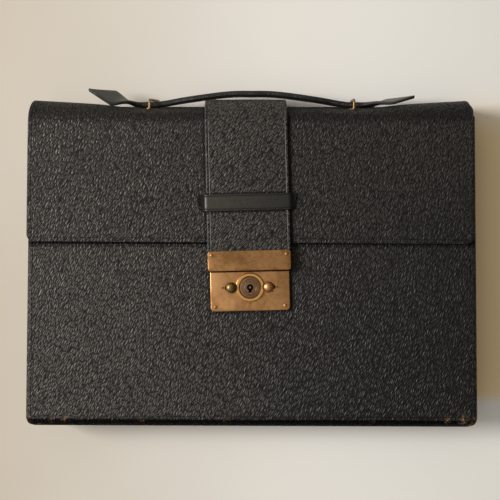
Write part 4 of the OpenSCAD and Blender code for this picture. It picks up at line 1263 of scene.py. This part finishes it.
# %% The handle's curve
handle_z = (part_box("handle_grip")[0].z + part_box("handle_grip")[1].z) / 2
handle_t, handle_lean = 4.6 * mm, math.radians(12)
handle_mid_y, handle_loop_y = top_y + 6.1 * mm, top_y - 3 * mm
grip_w, neck_w, tab_w = 18 * mm, 10 * mm, 28 * mm
tip_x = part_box("right_handle_end")[1].x
tab_reach = tip_x - loop_x
tab_x = loop_x + 31 * mm
tab_t, tip_t = 3 * mm, 2.4 * mm
arch_turn, arch_end = 0.79 * loop_x, 1.006 * loop_x
neck_from, neck_to = loop_x - 0.147 * tab_reach, loop_x + 0.127 * tab_reach
curl_from, twist_from = loop_x + 0.176 * tab_reach, loop_x + 0.255 * tab_reach
thin_from, thin_to = loop_x + 0.06 * tab_reach, loop_x + 0.275 * tab_reach
arch_k = (handle_mid_y - handle_loop_y) / (arch_turn * arch_end)


def line(a, low, high):
    return np.clip((a - low) / (high - low), 0, 1)


def ramp(a, low, high):
    t = line(a, low, high)
    return t * t * (3 - 2 * t)


def handle_y(a, curl):
    arch = handle_mid_y - arch_k * a * a
    flat = handle_loop_y + arch_k * arch_turn / (arch_end - arch_turn) * (arch_end - a) ** 2
    end = handle_loop_y + curl * (np.maximum(a - curl_from, 0) / (tip_x - curl_from)) ** 1.3
    return np.where(a < arch_turn, arch, np.where(a < arch_end, flat, end))


def handle_half_w(a):
    grip = (grip_w + (neck_w - grip_w) * ramp(a, 0.5 * neck_from, neck_from)) / 2
    spread = (neck_w + (tab_w - neck_w) * line(a, neck_to, tab_x)) / 2
    point = tab_w / 2 + (0.8 * mm - tab_w / 2) * line(a, tab_x, tip_x)
    return np.where(a < neck_to, grip, np.where(a < tab_x, spread, point))


def handle_half_t(a):
    return (handle_t - (handle_t - tab_t) * line(a, thin_from, thin_to)
            - (tab_t - tip_t) * line(a, thin_to, tip_x)) / 2


print(f"handle: {2 * tip_x / mm:.0f} mm from tip to tip, {handle_t / mm:.1f} mm thick")

# %% [markdown]
# The handle leans a little, so that the camera sees it edge on, and both tabs have twisted: the
# left one until it shows its face. The seam between the two layers is a groove along both narrow
# sides, with specks of pale thread.

# %% The handle's two halves
seam_half, seam_sink = 0.16, 0.35 * mm             # half of its width as a share, depth
round_from = 0.8                                   # share of the width where the edge rounds off


def handle_half(name, side, curl, twist, shift, nodes):
    piece = slab(name, (0, tip_x), (-1, 1), (-1, 1))
    cut_across(piece, 0, places(0, neck_from, 2.5 * mm) + places(neck_from, tab_x, 1.2 * mm)
               + places(tab_x, tip_x, 1.2 * mm) + [neck_from, tab_x])
    cut_across(piece, 1, [-0.75, -seam_half, 0, seam_half, 0.75])
    cut_across(piece, 2, [-0.93, -round_from, -0.4, 0, 0.4, round_from, 0.93])

    def form(p):
        a, across, thick = p[:, 0].copy(), p[:, 2], p[:, 1]
        past = np.maximum(np.abs(across) - round_from, 0) / (1 - round_from)
        round_off = np.sqrt(np.clip(1 - past ** 2, 0, 1))
        t = thick * handle_half_t(a) * (0.45 + 0.55 * round_off)
        w = across * np.maximum(handle_half_w(a) - 0.35 * mm * (np.abs(thick) > 0.9), 0.3 * mm)
        seam = (np.abs(thick) < 0.05) & (np.abs(across) > 0.99)
        w = np.where(seam, w - np.sign(w) * seam_sink, w)
        turn = handle_lean * (1 - ramp(a, neck_from, tab_x)) + np.radians(twist) * ramp(a, twist_from, tab_x)
        middle_z = handle_z + shift * ramp(a, curl_from, tab_x)
        wobble = 0.25 * mm * np.sin(a / (9 * mm)) * (a < neck_from)
        p[:, 0] = side * a
        p[:, 1] = handle_y(a, curl) + t * np.cos(turn) - w * np.sin(turn) + wobble
        p[:, 2] = middle_z + t * np.sin(turn) + w * np.cos(turn)
        return p

    seam_faces = {face.index for face in piece.data.polygons
                  if abs(face.normal.z) > 0.9 and abs(face.center.y) < seam_half + 0.01}
    shape(piece, form)
    tidy_normals(piece, merge=False)
    dress(piece, handle_leather, handle_seam, angle=50)
    give_second(piece, lambda face: face.index in seam_faces)
    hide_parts(*nodes)
    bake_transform(piece)
    return piece


left_half = handle_half("handle_left", -1, 11.6 * mm, 38, 3.6 * mm,
                        ["left_handle_link", "left_handle_end", "handle_grip"])
handle_half("handle_right", 1, 7 * mm, 20, 0, ["right_handle_link", "right_handle_end"])
print("handle half:", size_of(left_half))

# %% [markdown]
# Each loop is a staple of brass wire, pushed through the spine over washers and burred inside.
# The left one has been wrenched: its far leg leans over. A wire is drawn most simply as a curve
# with a round bevel, and is made a mesh at the end.

# %% The wire loops
loop_lean = handle_lean * (1 - float(ramp(loop_x, neck_from, tab_x)))


def wire_path(low, high, radius):
    """The staple's points: how much of the wrench each takes, its y and its z."""
    bend = 3 * mm
    bar = handle_loop_y + (handle_t / 2 + 0.4 * mm + radius) / math.cos(loop_lean)

    def knee(z):
        return bar - bend / math.cos(loop_lean) - (z - handle_z) * math.tan(loop_lean)

    near_z, far_z = high.z - radius, low.z + radius
    path = [(0, low.y, near_z)]
    for t in np.linspace(math.pi / 2, loop_lean, 7):
        path.append((0, knee(near_z - bend) + bend * math.cos(t), near_z - bend + bend * math.sin(t)))
    for t in np.linspace(math.pi / 2 + loop_lean, 0, 7):
        path.append((1, knee(far_z + bend) + bend * math.sin(t), far_z + bend - bend * math.cos(t)))
    return path + [(0.9, low.y, far_z)]


def wire_loop(name, node, wrench):
    low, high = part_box(node)
    radius, x = (high.x - low.x) / 2, (low.x + high.x) / 2
    path = wire_path(low, high, radius)
    bpy.ops.object.select_all(action="DESELECT")
    bpy.ops.curve.primitive_nurbs_path_add()
    piece = bpy.context.object
    piece.name = name
    piece.data.splines.clear()
    spline = piece.data.splines.new("POLY")
    spline.points.add(len(path) - 1)
    for point, (share, y, z) in zip(spline.points, path):
        point.co = (x + share * wrench, y, z, 1)
    piece.data.bevel_depth = radius
    piece.data.bevel_resolution = 5
    piece.data.use_fill_caps = True
    activate(piece)
    bpy.ops.object.convert(target="MESH")
    piece = bpy.context.object
    tidy_normals(piece)
    dress(piece, wire_brass, angle=60)
    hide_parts(node)
    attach(piece, "spine")
    return piece


left_loop = wire_loop("left_wire_loop", "left_handle_loop", 4.5 * mm)
wire_loop("right_wire_loop", "right_handle_loop", 0.6 * mm)
print("loop:", size_of(left_loop))

# %% [markdown]
# The floor is a plain pale sheet. Its colour is painted darker and warmer on the left, where the
# window's light is strongest, as painted shade, and warm in a patch close to the case's right side,
# as painted light coming back into the case's shadow. The patch's four soft edges are multiplied together.

# %% The floor
def floor_finish():
    finish = Finish("Pale table")
    parts = finish.parts()
    patches = finish.plus(parts["X"], finish.times(finish.noise(4, 3), 0.12))
    # Painted shade: darker and warmer towards the left, where the window's light is strongest.
    colour = finish.mix(finish.span(patches, -0.25, 0.2), grey(186, 175, 158), grey(238, 235, 229))
    # Painted light: a warm tint in the case's shadow on its right, as light coming back from the walls.
    beside = 1.0
    soft_edges = (("X", 0.165, 0.185), ("X", 0.27, 0.2), ("Y", -0.122, -0.108), ("Y", 0.15, 0.1))
    for way, outside, inside in soft_edges:
        beside = finish.times(finish.span(parts[way], outside, inside), beside)
    colour = finish.mix(beside, colour, grey(244, 218, 172))
    return finish.set(Base_Color=colour, Roughness=0.85, Specular_IOR_Level=0.2)


bpy.ops.object.select_all(action="DESELECT")
bpy.ops.mesh.primitive_plane_add(size=6)
floor = start("floor")
floor.data.materials.append(floor_finish())
print("floor:", size_of(floor))

# %% [markdown]
# One soft lamp stands to the left, as a window would, and the room fills the rest, brighter on the
# window's side and above, so that the shadow falls to the right and stays soft. The room's light
# turns warmer to the right, where it comes back from the walls.

# %% Light
daylight = (1.0, 0.985, 0.96)
scene = bpy.context.scene
scene.world = bpy.data.worlds.new("Room")
scene.world.use_nodes = True
room = Network(scene.world.node_tree)
ways = room.parts(room.place.node.outputs["Generated"])


def falloff(way, low, high, at_low, at_high):
    return room.node("ShaderNodeMapRange", Value=ways[way], From_Min=low, From_Max=high,
                     To_Min=at_low, To_Max=at_high).outputs["Result"]


sky = room.tree.nodes["Background"].inputs
room.fill(sky["Strength"], room.times(falloff("X", 0.3, -0.45, 0.2, 0.8), falloff("Z", 0.0, 0.8, 0.12, 1.0)))
room.fill(sky["Color"], room.mix(falloff("X", 0.0, 0.5, 0.0, 1.0), (*daylight, 1), (1.0, 0.82, 0.56, 1)))

bpy.ops.object.light_add(type="AREA", location=(-1.35, 0.2, 0.95))
window = bpy.context.object
window.name = "window"
window.data.shape, window.data.size = "SQUARE", 0.55
window.data.energy, window.data.color = 29.5, daylight
window.rotation_euler = (-window.location).to_track_quat("-Z", "Y").to_euler()
print(f"window: {window.data.energy} W, {window.location.length:.2f} m away")

# %% [markdown]
# The photograph was taken from straight above, about half a metre away. The camera's place and
# its small tilt were fitted to the corners, rivets and loops that can be told apart in it.

# %% Camera
bpy.ops.object.camera_add(location=(2.2 * mm, -6.4 * mm, 537.4 * mm), rotation=(0.0294, 0.0066, 0.0024))
camera = scene.camera = bpy.context.object
camera.data.sensor_width, camera.data.lens = 36, 45.5
scene.view_settings.view_transform = "Standard"
print(f"camera: {camera.location.z / mm:.0f} mm up, lens {camera.data.lens} mm")
